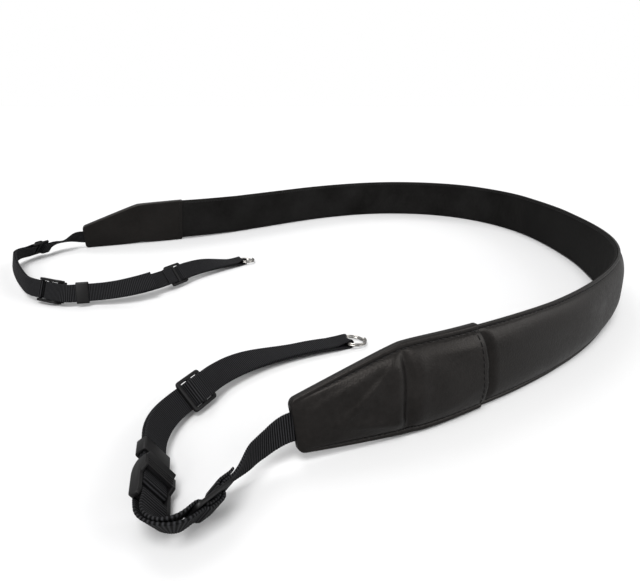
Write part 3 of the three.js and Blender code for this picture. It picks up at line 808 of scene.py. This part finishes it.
def finish_fitting(name, mesh, end, spot, node, order=("along", "across", "out")):
    """Makes a piece of a fitting's mesh, seated over its spot on a tail."""
    tail = Tail(end)
    seat_mesh(mesh, tail.place(tail.middles[spot]), tail.side, order)
    mesh.polygons.foreach_set("use_smooth", [True] * len(mesh.polygons))
    mesh.set_sharp_from_angle(angle=math.radians(42))
    return finish_piece(new_object(name, mesh), moulded_plastic(), "plastic", node)


def make_slider(end, which):
    name = f"slider_{which}_{end}"
    reach = SLIDER_PITCH + SLIDER_BAR / 2
    slots = [
        rounded_corners(left, left + SLIDER_PITCH - SLIDER_BAR, SLOT_HALF, 0.7)
        for left in (SLIDER_BAR / 2 - SLIDER_PITCH, SLIDER_BAR / 2)
    ]
    outline = rounded_corners(-reach, reach, FITTING_HALF, 1.9)
    mesh = flat_body(name, [outline, *slots], SLIDER_THICKNESS, 0.38)
    return finish_fitting(name, mesh, end, f"{which}_slider", f"{which}_slider_{end}")


def make_keeper(end):
    name = f"keeper_loop_{end}"
    hole = LAYER_STEP / 2 + WEB_THICKNESS / 2 + CLEARANCE
    outlines = [
        rounded_corners(-hole - KEEPER_WALL, hole + KEEPER_WALL, SLOT_HALF + KEEPER_WALL, 1.3),
        rounded_corners(-hole, hole, SLOT_HALF, 0.6),
    ]
    mesh = flat_body(name, outlines, KEEPER_LENGTH, 0.3)
    return finish_fitting(name, mesh, end, "keeper", f"keeper_{end}", ("out", "across", "along"))


def side_profile(points, width, bevel):
    """A side outline drawn out across the fitting, with round edges."""
    mesh = flat_body("profile", [points], width, bevel)
    coords = np.empty(len(mesh.vertices) * 3)
    mesh.vertices.foreach_get("co", coords)
    coords = coords.reshape(-1, 3)[:, (0, 2, 1)]
    mesh.vertices.foreach_set("co", coords.ravel())
    mesh.flip_normals()
    return mesh


def curve_points(start, control, stop, count=6):
    shares = np.linspace(0, 1, count + 1)[1:]
    return [tuple(
        (1 - s) ** 2 * a + 2 * s * (1 - s) * b + s * s * c for a, b, c in zip(start, control, stop)
    ) for s in shares]


def make_lock(end):
    start = -LOCK_LENGTH / 2 - LOCK_BAR_RADIUS / 2
    stop = LOCK_LENGTH / 2
    rail = LOCK_RAIL_HEIGHT / 2
    lip_top = -LOCK_TURN - WEB_THICKNESS / 2 - CLEARANCE
    lip_start = stop - LOCK_LIP_LENGTH
    thick = LOCK_LIP_THICKNESS
    rail_points = [
        (start, -rail * 0.6), (start + 0.4 * rail, -rail * 0.9), (start + rail, -rail),
        (lip_start - rail, -rail), (lip_start, lip_top - thick), (stop, lip_top - thick),
        (stop, lip_top + rail),
        *curve_points((stop, lip_top + rail), (stop - rail, rail), (lip_start - rail, rail)),
        (start + rail, rail), *curve_points((start + rail, rail), (start, rail), (start, 0.0)),
    ]
    lip_points = [
        (lip_start, lip_top), (lip_start, lip_top - thick), (stop, lip_top - thick),
        (stop + thick, lip_top - 1.6 * thick), (stop + thick, lip_top - 0.6 * thick),
        (stop - thick, lip_top),
    ]
    body = bmesh.new()
    side = (FITTING_HALF + SLOT_HALF) / 2
    for points, width, bevel, shift in (
        (rail_points, RAIL_WIDTH, 0.35, side), (rail_points, RAIL_WIDTH, 0.35, -side),
        (lip_points, 2 * FITTING_HALF - RAIL_WIDTH, 0.3, 0.0),
    ):
        part = side_profile(points, width, bevel)
        part.transform(Matrix.Translation((0, shift * MM, 0)))
        body.from_mesh(part)
        bpy.data.meshes.remove(part)
    upright = Matrix.Rotation(math.pi / 2, 3, "X")
    rods = [(x, 0.0, LOCK_BAR_RADIUS, 2 * SLOT_HALF + RAIL_WIDTH)
            for x in (-LOCK_LENGTH / 2 + LOCK_BAR_RADIUS, 0.0)]
    rods += [(lip_start + gone, lip_top - thick, 0.3, 2 * SLOT_HALF) for gone in (1.2, 2.5, 3.8)]
    for x, z, radius, width in rods:
        rod = bmesh.ops.create_cone(
            body, cap_ends=True, segments=20, radius1=radius * MM, radius2=radius * MM,
            depth=width * MM,
        )
        bmesh.ops.rotate(body, verts=rod["verts"], matrix=upright)
        bmesh.ops.translate(body, verts=rod["verts"], vec=(x * MM, 0, z * MM))
    mesh = bpy.data.meshes.new(f"lock_{end}")
    body.to_mesh(mesh)
    body.free()
    return finish_fitting(f"lock_{end}", mesh, end, "lock", f"ladder_lock_{end}")


# Split rings
def make_ring(end):
    tail = Tail(end)
    place = tail.place(tail.length - RING_TURN_RADIUS)
    reach = RING_RADIUS - ring_bow()
    wire = RING_WIRE / 2
    drop = max(0.0, place.origin[2] - RING_HALF - wire - FLOOR_GAP)
    tip = math.asin(clamp(drop / (reach + RING_RADIUS + wire)))
    turn = tip * math.copysign(1, place.out[2])
    along = place.along * math.cos(turn) + np.cross(place.across, place.along) * math.sin(turn)
    out = np.cross(along, place.across)
    centre = place.origin + along * reach
    per_turn = 72
    rings, lengths = [], []
    for step in range(RING_TURNS * per_turn + 1):
        share = step / per_turn
        height = (RING_WIRE + RING_TURN_GAP) * (share - RING_TURNS / 2)
        angle = share * TAU
        radial = along * math.cos(angle) + place.across * math.sin(angle)
        rings.append([
            centre + radial * (RING_RADIUS + wire * math.cos(turned))
            + out * (height + wire * math.sin(turned))
            for turned in np.linspace(0, TAU, 12, endpoint=False)
        ])
        lengths.append(share * TAU * RING_RADIUS)
    girths = np.linspace(0, TAU * wire, 13)
    piece = loft(f"key_ring_{end}", rings, np.array(lengths), girths)
    return finish_piece(piece, ring_steel(), "steel", f"split_ring_{end}")


# Node trees
def once(store, name):
    """Makes a named material or node tree on its first use, and finds it again after that."""
    def wrap(make):
        return lambda: getattr(bpy.data, store).get(name) or make(name)
    return wrap


def feed(tree, node, inputs):
    """Gives a node's inputs their values, or links them to outputs."""
    for key, value in inputs.items():
        if isinstance(value, bpy.types.NodeSocket):
            tree.links.new(value, node.inputs[key])
        else:
            node.inputs[key].default_value = value
    return node


def add(tree, kind, inputs=None, **settings):
    node = tree.nodes.new(kind)
    for key, value in settings.items():
        setattr(node, key, value)
    return feed(tree, node, inputs or {})


def calc(tree, operation, *values):
    return add(tree, "ShaderNodeMath", dict(enumerate(values)), operation=operation).outputs[0]


def weigh(tree, first, share, second, other):
    """The sum of two values, each times its weight."""
    first, second = calc(tree, "MULTIPLY", first, share), calc(tree, "MULTIPLY", second, other)
    return calc(tree, "ADD", first, second)


def new_tree(name, kind, inputs, outputs):
    """A tree with its first and last nodes. Sockets are numbers, or what their label says."""
    tree = bpy.data.node_groups.new(name, kind)
    for way, labels in (("INPUT", inputs), ("OUTPUT", outputs)):
        for label in labels:
            plain = label in ("Geometry", "Material")
            socket = tree.interface.new_socket(
                label, in_out=way, socket_type=f"NodeSocket{label if plain else 'Float'}",
            )
            if way == "INPUT" and not plain:
                socket.default_value = inputs[label]
    return tree, tree.nodes.new("NodeGroupInput").outputs, tree.nodes.new("NodeGroupOutput")


# Geometry Nodes
def end_tree(tree, shape, given, stop):
    """Ends a geometry tree: its instances made real, in the given material."""
    real = add(tree, "GeometryNodeRealizeInstances", {0: shape.outputs[0]})
    feed(tree, stop, {0: add(tree, "GeometryNodeSetMaterial", {
        "Geometry": real.outputs[0], "Material": given["Material"],
    }).outputs[0]})
    return tree


@once("node_groups", "webbing ribs")
def rib_tree(name):
    """Waves on webbing, by the distance along it that its points keep."""
    tree, given, stop = new_tree(name, "GeometryNodeTree", {
        "Geometry": None, "Pitch": 0.0011, "Depth": 0.00006, "Material": None,
    }, ["Geometry"])
    along = add(tree, "GeometryNodeInputNamedAttribute", {"Name": "along"}, data_type="FLOAT")
    turns = calc(tree, "DIVIDE", along.outputs["Attribute"], given["Pitch"])
    wave = calc(tree, "COSINE", calc(tree, "MULTIPLY", turns, TAU))
    offset = add(tree, "ShaderNodeVectorMath", {
        0: add(tree, "GeometryNodeInputNormal").outputs[0],
        "Scale": calc(tree, "MULTIPLY", wave, given["Depth"]),
    }, operation="SCALE")
    move = add(tree, "GeometryNodeSetPosition", {
        "Geometry": given["Geometry"], "Offset": offset.outputs[0],
    })
    return end_tree(tree, move, given, stop)


@once("node_groups", "row of stitches")
def stitch_tree(name):
    """Beads of thread along edges, each lying on the surface that its point faces."""
    tree, given, stop = new_tree(name, "GeometryNodeTree", {
        "Geometry": None, "Pitch": 0.0033, "Length": 0.0027, "Thickness": 0.00065, "Material": None,
    }, ["Geometry"])
    curve = add(tree, "GeometryNodeMeshToCurve", {"Mesh": given["Geometry"]})
    points = add(tree, "GeometryNodeResampleCurve", {
        "Curve": curve.outputs["Curve"], "Length": given["Pitch"],
    }, mode="LENGTH")
    facing = add(
        tree, "GeometryNodeInputNamedAttribute", {"Name": "facing"}, data_type="FLOAT_VECTOR",
    )
    lie = add(tree, "FunctionNodeAlignRotationToVector", {
        "Vector": add(tree, "GeometryNodeInputTangent").outputs[0],
    }, axis="X")
    face = add(tree, "FunctionNodeAlignRotationToVector", {
        "Rotation": lie.outputs[0], "Vector": facing.outputs["Attribute"],
    }, axis="Z", pivot_axis="X")
    bead = add(tree, "GeometryNodeMeshUVSphere", {"Segments": 6, "Rings": 5, "Radius": 0.5})
    turn = add(tree, "GeometryNodeTransform", {
        "Geometry": bead.outputs["Mesh"], "Rotation": (0, math.pi / 2, 0),
    })
    size = add(tree, "ShaderNodeCombineXYZ", {
        "X": given["Length"], "Y": given["Thickness"], "Z": given["Thickness"],
    })
    place = add(tree, "GeometryNodeInstanceOnPoints", {
        "Points": points.outputs[0], "Rotation": face.outputs[0], "Scale": size.outputs[0],
        "Instance": add(tree, "GeometryNodeSetShadeSmooth", {
            "Geometry": turn.outputs[0],
        }).outputs[0],
    })
    return end_tree(tree, place, given, stop)


def run_tree(piece, tree, values):
    """Runs a geometry tree on a piece and keeps what it makes as the piece's plain mesh."""
    modifier = piece.modifiers.new(tree.name, "NODES")
    modifier.node_group = tree
    for item in tree.interface.items_tree:
        if item.in_out == "INPUT" and item.name in values:
            modifier[item.identifier] = values[item.name]
    mesh = plain_mesh(piece)
    piece.modifiers.clear()
    before = piece.data
    piece.data = mesh
    bpy.data.meshes.remove(before)
    mesh.name = piece.name


def stitch_row(points, facings, name):
    """Stitches along rows of points, each point with the direction that its surface faces."""
    sizes = bpy.context.scene.strap_thread
    verts, edges, normals = [], [], []
    lowest = sizes.thickness / MM / 2 + 0.05
    for row, facing in zip(points, facings):
        base = len(verts)
        verts.extend((x * MM, y * MM, max(z, lowest) * MM) for x, y, z in row)
        normals.extend(facing)
        edges.extend((base + index, base + index + 1) for index in range(len(row) - 1))
    mesh = bpy.data.meshes.new(name)
    mesh.from_pydata(verts, edges, [])
    attribute = mesh.attributes.new("facing", "FLOAT_VECTOR", "POINT")
    attribute.data.foreach_set("vector", np.array(normals, dtype=np.float32).ravel())
    piece = new_object(name, mesh)
    run_tree(piece, stitch_tree(), {
        "Pitch": sizes.pitch, "Length": sizes.length, "Thickness": sizes.thickness,
        "Material": sewing_thread(),
    })
    return finish_piece(piece, sewing_thread(), "leather")


def make_band_stitches():
    sizes = bpy.context.scene.strap_band
    half = band_half()
    start = CAP_LENGTH + 2.0 + CAP_SKEW["front"] * half
    places = [band_place(at) for at in even(start, BAND_LENGTH - start, BAND_SEAM_STEP)]
    rows, facings = [], []
    sunk = sizes.edge / MM - sizes.groove / MM + SUNK_THREAD_LIFT
    back = -CLEARANCE - SHOWN_LINING - 0.05
    for across in (half - BAND_STITCH, BAND_STITCH - half):
        for out, sign in ((sunk, 1), (back, -1)):
            rows.append([place.at(out, across) for place in places])
            facings.append([place.out * sign for place in places])
    return stitch_row(rows, facings, "band_stitches")


def make_cap_stitches(end):
    place_at = cap_place(end)
    from_end = CAP_LENGTH - CAP_STITCH
    outline, half = cap_outline(from_end)
    place = place_at(from_end)
    front = sorted(
        (across, out) for out, across in outline
        if out > 0.5 and abs(across) < half - CAP_STITCH
    )
    back = min(out for out, _ in outline)
    rows = [[
        place.at(
            out + THREAD_LIFT + cap_relief(from_end, across, half),
            across, -CAP_SKEW[end] * across,
        ) for across, out in front
    ], [
        place.at(back - THREAD_LIFT, across, -CAP_SKEW[end] * across) for across, _ in front
    ]]
    facings = [[place.out] * len(front), [-place.out] * len(front)]
    for sign in (1, -1):
        points, normals = [], []
        for distance in even(*CAP_SEAM, CAP_SEAM_STEP):
            outline, half = cap_outline(distance)
            here = place_at(distance)
            across = sign * half * (1 - CAP_STITCH / RIM_HALF)
            out = max(place_out for place_out, where in outline if abs(where - across) < 0.2)
            points.append(here.at(
                out + THREAD_LIFT + cap_relief(distance, across, half),
                across, -CAP_SKEW[end] * across,
            ))
            normals.append(here.out)
        rows.append(points)
        facings.append(normals)
    return stitch_row(rows, facings, f"cap_stitches_{end}")


# Shader groups
def object_coords(tree):
    return add(tree, "ShaderNodeTexCoord").outputs["Object"]


def noise(tree, vector, scale, detail=3.0, roughness=0.55):
    return add(tree, "ShaderNodeTexNoise", {
        "Vector": vector, "Scale": scale, "Detail": detail, "Roughness": roughness,
    }).outputs["Fac"]


@once("node_groups", "leather grain")
def grain_group(name):
    """Pores and creases of leather, and its uneven tone."""
    group, given, stop = new_tree(name, "ShaderNodeTree", {
        "Pore Scale": 900.0, "Pore Depth": 0.6, "Crease Depth": 0.5,
    }, ["Height", "Tone", "Rough"])
    coords = object_coords(group)
    cells = add(group, "ShaderNodeTexVoronoi", {
        "Vector": coords, "Scale": given["Pore Scale"],
    }, feature="F1")
    pores = calc(group, "MULTIPLY", cells.outputs["Distance"], given["Pore Depth"])
    folds = calc(group, "MULTIPLY", noise(group, coords, 160.0, 4.0), given["Crease Depth"])
    broad, fine = noise(group, coords, 28.0, 4.0, 0.6), noise(group, coords, 420.0, 2.0)
    feed(group, stop, {
        "Height": calc(group, "SUBTRACT", folds, pores),
        "Tone": weigh(group, broad, 0.7, fine, 0.3),
        "Rough": weigh(group, fine, 0.35, broad, 0.65),
    })
    return group


@once("node_groups", "edge wear")
def wear_group(name):
    """Light wear on edges that stick out."""
    group, given, stop = new_tree(name, "ShaderNodeTree", {"Amount": 0.5}, ["Mask"])
    sharp = add(group, "ShaderNodeMapRange", {
        "Value": add(group, "ShaderNodeNewGeometry").outputs["Pointiness"],
        "From Min": 0.52, "From Max": 0.62,
    }).outputs["Result"]
    mask = calc(group, "MULTIPLY", sharp, noise(group, object_coords(group), 260.0, 4.0))
    feed(group, stop, {"Mask": calc(group, "MULTIPLY", mask, given["Amount"])})
    return group


@once("node_groups", "webbing weave")
def weave_and_rib_highlight_group(name):
    """Fine threads of webbing, by the piece's own UV map in metres, and its tone: painted
    highlights on the rib crests and painted shade between the ribs, with random fuzz.
    """
    group, given, stop = new_tree(name, "ShaderNodeTree", {
        "Rib Pitch": 0.0011, "Thread Pitch": 0.00055,
    }, ["Height", "Tone"])
    uv = add(group, "ShaderNodeUVMap", uv_map="UVMap").outputs["UV"]
    split = add(group, "ShaderNodeSeparateXYZ", {0: uv}).outputs
    ribs = calc(group, "DIVIDE", split["X"], given["Rib Pitch"])
    threads = calc(group, "DIVIDE", split["Y"], given["Thread Pitch"])
    rib_wave = calc(group, "COSINE", calc(group, "MULTIPLY", ribs, TAU))
    thread_wave = calc(group, "SINE", weigh(group, threads, TAU, ribs, math.pi))
    both = calc(group, "MULTIPLY", calc(group, "ADD", rib_wave, 1.0), thread_wave)
    fuzz = noise(group, object_coords(group), 1800.0, 2.0)
    height = weigh(group, both, 0.25, rib_wave, 0.35)
    # Tone: a painted highlight on each rib crest and painted shade between the ribs; the fuzz adds
    # random fibre tone
    tone = calc(group, "ADD", calc(group, "MULTIPLY", rib_wave, 0.3), 0.3)
    feed(group, stop, {
        "Height": calc(group, "ADD", height, calc(group, "MULTIPLY", fuzz, 0.4)),
        "Tone": calc(group, "ADD", tone, calc(group, "MULTIPLY", fuzz, 0.3)),
    })
    return group


# Materials
def new_material(name, specular=0.5, sheen=0.0, metallic=0.0):
    material = bpy.data.materials.new(name)
    material.use_nodes = True
    tree = material.node_tree
    return material, tree, feed(tree, tree.nodes["Principled BSDF"], {
        "Specular IOR Level": specular, "Sheen Weight": sheen, "Sheen Roughness": 0.5,
        "Metallic": metallic,
    })


def place_group(tree, group, values):
    return add(tree, "ShaderNodeGroup", values, node_tree=group).outputs


def scaled(colour, factor):
    return tuple(factor * part for part in colour)


def ramp(tree, value, low, high, start=0.3, stop=0.7):
    node = add(tree, "ShaderNodeValToRGB", {0: value})
    for point, place, colour in zip(node.color_ramp.elements, (start, stop), (low, high)):
        point.position = place
        point.color = (*colour, 1)
    return node.outputs[0]


def mix_colour(tree, mask, first, second):
    inputs = {"Factor": mask, 6: first, 7: (*second, 1)}
    return add(tree, "ShaderNodeMix", inputs, data_type="RGBA").outputs[2]


def range_of(tree, value, low, high):
    inputs = {"Value": value, "To Min": low, "To Max": high}
    return add(tree, "ShaderNodeMapRange", inputs).outputs["Result"]


def dress(tree, shader, colour, rough, height, strength, distance):
    """Links a shader's colour and roughness, and its bump with a strength and a distance."""
    inputs = {"Height": height, "Strength": strength, "Distance": distance}
    normal = add(tree, "ShaderNodeBump", inputs).outputs[0]
    feed(tree, shader, {"Base Color": colour, "Roughness": rough, "Normal": normal})


def leather(name, colour, roughness, pore, depth, wear, specular):
    material, tree, shader = new_material(name, specular=specular)
    shader.inputs["Specular Tint"].default_value = (1.0, 0.93, 0.87, 1)
    grain = place_group(tree, grain_group(), {
        "Pore Scale": pore, "Pore Depth": 0.6, "Crease Depth": 0.5,
    })
    base = ramp(tree, grain["Tone"], scaled(colour, 0.45), scaled(colour, 1.65), 0.32, 0.68)
    worn = place_group(tree, wear_group(), {"Amount": wear})["Mask"]
    rough = range_of(tree, grain["Rough"], roughness - 0.3, roughness + 0.36)
    edge = mix_colour(tree, worn, base, scaled(colour, 3.0))
    dress(tree, shader, edge, rough, grain["Height"], 0.4, depth)
    return material


@once("materials", "smooth leather")
def smooth_leather(name):
    colour = bpy.context.scene.strap_band.colour
    return leather(
        name, colour, roughness=0.37, pore=1100.0, depth=0.00026, wear=0.5, specular=0.225,
    )


@once("materials", "lining leather")
def lining_leather(name):
    colour = bpy.context.scene.strap_band.lining_colour
    return leather(
        name, colour, roughness=0.68, pore=1500.0, depth=0.0001, wear=0.2, specular=0.1,
    )


@once("materials", "ribbed webbing")
def ribbed_webbing(name):
    sizes = bpy.context.scene.strap_web
    material, tree, shader = new_material(name, specular=0.07, sheen=0.008)
    weave = place_group(tree, weave_and_rib_highlight_group(), {
        "Rib Pitch": sizes.rib_pitch, "Thread Pitch": sizes.rib_pitch / 2,
    })
    # The ramp's light end is a painted highlight on the rib crests, its dark end painted shade
    # between the ribs
    base = ramp(tree, weave["Tone"], sizes.colour, scaled(sizes.colour, 25), 0.3, 0.8)
    rough = range_of(tree, weave["Tone"], 0.75, 0.55)
    dress(tree, shader, base, rough, weave["Height"], 0.5, 0.00012)
    return material


@once("materials", "sewing thread")
def sewing_thread(name):
    material, tree, shader = new_material(name, specular=0.2, sheen=0.02)
    twist = noise(tree, object_coords(tree), 2400.0, 2.0)
    colour = bpy.context.scene.strap_thread.colour
    base = ramp(tree, twist, colour, scaled(colour, 2.0))
    dress(tree, shader, base, range_of(tree, twist, 0.5, 0.7), twist, 0.4, 0.00008)
    return material


@once("materials", "moulded plastic")
def moulded_plastic(name):
    material, tree, shader = new_material(name, specular=0.22)
    coords = object_coords(tree)
    spark, haze = noise(tree, coords, 2600.0, 2.0), noise(tree, coords, 120.0, 3.0)
    colour = bpy.context.scene.strap_fitting.colour
    worn = place_group(tree, wear_group(), {"Amount": 0.5})["Mask"]
    base = ramp(tree, haze, colour, scaled(colour, 1.5))
    base = mix_colour(tree, worn, base, scaled(colour, 3.5))
    dress(tree, shader, base, range_of(tree, haze, 0.34, 0.5), spark, 0.25, 0.00005)
    return material


@once("materials", "ring steel")
def ring_steel(name):
    material, tree, shader = new_material(name, metallic=1.0)
    coords = object_coords(tree)
    haze, spark = noise(tree, coords, 300.0, 3.0), noise(tree, coords, 1500.0, 2.0)
    colour = bpy.context.scene.strap_fitting.steel_colour
    base = ramp(tree, haze, scaled(colour, 0.8), colour)
    dress(tree, shader, base, range_of(tree, haze, 0.12, 0.26), spark, 0.08, 0.00003)
    return material


# Stage: lights with their place, the name of their strength and their width in degrees
LIGHTS = [
    ("light_behind", (-0.5, 1.0, 1.5), "back_strength", 30),
    ("light_right", (1.5, -0.25, 0.8), "side_strength", 40),
    ("light_above", (-0.15, -0.75, 1.45), "top_strength", 30),
    ("light_front", (-0.45, -1.1, 0.72), "front_strength", 20),
]
FLOOR_REACH = 6.0
VIEW_WIDTH = 640
SENSOR_WIDTH = 36
CAMERA_PLACE = (0.01784, -0.41469)


def floor_material():
    material, tree, shader = new_material("pale floor", specular=0.2)
    haze = noise(tree, object_coords(tree), 3.0, 2.0)
    base = ramp(tree, haze, (0.69, 0.69, 0.695), (0.72, 0.72, 0.72))
    # Reflections meet a darker floor, so that the leather's lower edge stays as dark as its middle
    seen = add(tree, "ShaderNodeLightPath").outputs["Is Glossy Ray"]
    base = mix_colour(tree, seen, base, (0.33, 0.33, 0.33))
    feed(tree, shader, {"Base Color": base, "Roughness": 0.7})
    return material


def soft_light(name, place, strength, width):
    """A wide soft light from far away, in the direction of a place, width in degrees."""
    lamp = bpy.data.lights.new(name, "SUN")
    lamp.energy = strength
    lamp.angle = math.radians(width)
    holder = new_object(name, lamp)
    holder.location = place
    holder.rotation_euler = (-holder.location).to_track_quat("-Z", "Y").to_euler()
    return holder


def make_stage():
    sizes = bpy.context.scene.strap_stage
    mesh = bpy.data.meshes.new("floor")
    corners = [(-1, -1), (1, -1), (1, 1), (-1, 1)]
    mesh.from_pydata(
        [(x * FLOOR_REACH, y * FLOOR_REACH, 0) for x, y in corners], [], [(0, 1, 2, 3)],
    )
    mesh.materials.append(floor_material())
    new_object("floor", mesh)
    world = bpy.data.worlds.new("studio")
    world.use_nodes = True
    tree = world.node_tree
    white = (1, 1, 1, 1)
    backdrop = feed(tree, tree.nodes["Background"], {"Color": white})
    around = add(tree, "ShaderNodeBackground", {"Color": white, "Strength": sizes.ambient})
    seen = add(tree, "ShaderNodeLightPath").outputs["Is Camera Ray"]
    both = add(tree, "ShaderNodeMixShader", {
        0: seen, 1: around.outputs[0], 2: backdrop.outputs[0],
    })
    feed(tree, tree.nodes["World Output"], {"Surface": both.outputs[0]})
    bpy.context.scene.world = world
    bpy.context.scene.view_settings.view_transform = "Standard"
    for name, place, strength, width in LIGHTS:
        soft_light(name, place, getattr(sizes, strength), width)
    lens = bpy.data.cameras.new("view")
    lens.sensor_width = SENSOR_WIDTH
    lens.lens = SENSOR_WIDTH * sizes.focal_pixels / VIEW_WIDTH
    camera = new_object("view", lens)
    camera.location = (*CAMERA_PLACE, sizes.eye_height)
    camera.rotation_euler = (math.pi / 2 - sizes.eye_pitch, 0, 0)
    bpy.context.scene.camera = camera


# Settings
def metres(label, text, value):
    return FloatProperty(
        name=label, description=text, default=value, min=0.0, unit="LENGTH", precision=5,
    )


def tint(label, text, value):
    return FloatVectorProperty(
        name=label, description=text, default=value, size=3, min=0, max=1, subtype="COLOR",
    )


def strength(label, text, value):
    return FloatProperty(name=label, description=text, default=value, min=0)


class STRAP_PG_band(bpy.types.PropertyGroup):
    width: metres("Width", "Width of the leather band", 0.042)
    edge: metres("Edge", "Thickness of the band's flat rims", 0.0016)
    crown: metres("Crown", "Thickness of the band's padded middle", 0.006)
    groove: metres("Groove", "Depth of the sunk stitch lines", 0.0005)
    colour: tint("Leather", "Colour of the outer leather", (0.0058, 0.0053, 0.0052))
    lining_colour: tint("Lining", "Colour of the lining", (0.0074, 0.0073, 0.0073))


class STRAP_PG_web(bpy.types.PropertyGroup):
    rib_pitch: metres("Rib pitch", "Distance between the webbing's ribs", 0.0011)
    rib_depth: metres("Rib depth", "Height of the ribs over the webbing's middle", 0.00006)
    colour: tint("Webbing", "Colour of the webbing", (0.0011, 0.0011, 0.0012))


class STRAP_PG_thread(bpy.types.PropertyGroup):
    pitch: metres("Pitch", "Distance between stitches", 0.0033)
    length: metres("Length", "Length of a stitch", 0.0027)
    thickness: metres("Thickness", "Thickness of the thread", 0.00065)
    colour: tint("Thread", "Colour of the thread", (0.006, 0.0055, 0.0055))


class STRAP_PG_fitting(bpy.types.PropertyGroup):
    colour: tint("Plastic", "Colour of the plastic fittings", (0.0042, 0.004, 0.0042))
    steel_colour: tint("Steel", "Colour of the split rings", (0.5, 0.48, 0.45))


class STRAP_PG_stage(bpy.types.PropertyGroup):
    ambient: strength("Ambient", "Strength of the light from all round", 0.45)
    back_strength: strength("Back light", "Strength of the light behind", 0.6)
    side_strength: strength("Side light", "Strength of the light at the right", 1.1)
    top_strength: strength("Top light", "Strength of the light above", 2.35)
    front_strength: strength("Front light", "Strength of the light in front", 0.8)
    focal_pixels: FloatProperty(
        name="Focal length", description="In pixels of a view 640 wide", default=550, min=1,
    )
    eye_height: metres("Eye height", "Height of the camera over the table", 0.1423)
    eye_pitch: FloatProperty(
        name="Eye pitch", description="How far the camera looks down", default=0.34313,
        subtype="ANGLE",
    )


# Operators
class STRAP_OT_band(bpy.types.Operator):
    """Make the padded leather band"""
    bl_idname = "strap.band"
    bl_label = "Leather band"

    def execute(self, context):
        make_band()
        return {"FINISHED"}


class STRAP_OT_lining(bpy.types.Operator):
    """Make the lining behind the band"""
    bl_idname = "strap.lining"
    bl_label = "Lining"

    def execute(self, context):
        make_lining()
        return {"FINISHED"}


class STRAP_OT_caps(bpy.types.Operator):
    """Make the leather caps at the band's ends"""
    bl_idname = "strap.caps"
    bl_label = "End caps"

    def execute(self, context):
        for end in TAILS:
            make_cap(end)
        return {"FINISHED"}


class STRAP_OT_stitches(bpy.types.Operator):
    """Sew the band and its caps"""
    bl_idname = "strap.stitches"
    bl_label = "Stitches"

    def execute(self, context):
        make_band_stitches()
        for end in TAILS:
            make_cap_stitches(end)
        return {"FINISHED"}


class STRAP_OT_webbing(bpy.types.Operator):
    """Make the ribbed webbing of both tails"""
    bl_idname = "strap.webbing"
    bl_label = "Webbing"

    def execute(self, context):
        for end in TAILS:
            make_strap_webbing(end)
            make_ring_webbing(end)
        return {"FINISHED"}


class STRAP_OT_sliders(bpy.types.Operator):
    """Make the flat three-bar sliders"""
    bl_idname = "strap.sliders"
    bl_label = "Sliders"

    def execute(self, context):
        for end in TAILS:
            make_slider(end, "strap")
            make_slider(end, "ring")
        return {"FINISHED"}


class STRAP_OT_locks(bpy.types.Operator):
    """Make the ladder locks"""
    bl_idname = "strap.locks"
    bl_label = "Ladder locks"

    def execute(self, context):
        for end in TAILS:
            make_lock(end)
        return {"FINISHED"}


class STRAP_OT_keepers(bpy.types.Operator):
    """Make the keepers that hold the webbing's free ends"""
    bl_idname = "strap.keepers"
    bl_label = "Keepers"

    def execute(self, context):
        for end in TAILS:
            make_keeper(end)
        return {"FINISHED"}


class STRAP_OT_rings(bpy.types.Operator):
    """Make the split rings"""
    bl_idname = "strap.rings"
    bl_label = "Split rings"

    def execute(self, context):
        for end in TAILS:
            make_ring(end)
        return {"FINISHED"}


class STRAP_OT_stage(bpy.types.Operator):
    """Set up the floor, the lights and the camera"""
    bl_idname = "strap.stage"
    bl_label = "Stage"

    def execute(self, context):
        make_stage()
        return {"FINISHED"}


OPERATORS = [
    STRAP_OT_stage, STRAP_OT_band, STRAP_OT_lining, STRAP_OT_caps, STRAP_OT_stitches,
    STRAP_OT_webbing, STRAP_OT_sliders, STRAP_OT_locks, STRAP_OT_keepers, STRAP_OT_rings,
]
SETTINGS = {
    "strap_band": STRAP_PG_band, "strap_web": STRAP_PG_web, "strap_thread": STRAP_PG_thread,
    "strap_fitting": STRAP_PG_fitting, "strap_stage": STRAP_PG_stage,
}


class STRAP_PT_panel(bpy.types.Panel):
    """Lists the strap's settings and the steps that make it"""
    bl_idname = "STRAP_PT_panel"
    bl_label = "Strap"
    bl_space_type = "VIEW_3D"
    bl_region_type = "UI"
    bl_category = "Strap"

    def draw(self, context):
        for name in SETTINGS:
            box = self.layout.box()
            settings = getattr(context.scene, name)
            for key in settings.__annotations__:
                box.prop(settings, key)
        for operator in OPERATORS:
            self.layout.operator(operator.bl_idname)


def register():
    for settings in SETTINGS.values():
        bpy.utils.register_class(settings)
    for operator in [*OPERATORS, STRAP_PT_panel]:
        bpy.utils.register_class(operator)
    for name, settings in SETTINGS.items():
        setattr(bpy.types.Scene, name, PointerProperty(type=settings))


def unregister():
    for name in SETTINGS:
        delattr(bpy.types.Scene, name)
    for operator in [STRAP_PT_panel, *reversed(OPERATORS)]:
        bpy.utils.unregister_class(operator)
    for settings in SETTINGS.values():
        bpy.utils.unregister_class(settings)


def main():
    register()
    for step in (
        bpy.ops.strap.stage, bpy.ops.strap.band, bpy.ops.strap.lining, bpy.ops.strap.caps,
        bpy.ops.strap.stitches, bpy.ops.strap.webbing, bpy.ops.strap.sliders,
        bpy.ops.strap.locks, bpy.ops.strap.keepers, bpy.ops.strap.rings,
    ):
        step()


if __name__ == "__main__":
    main()
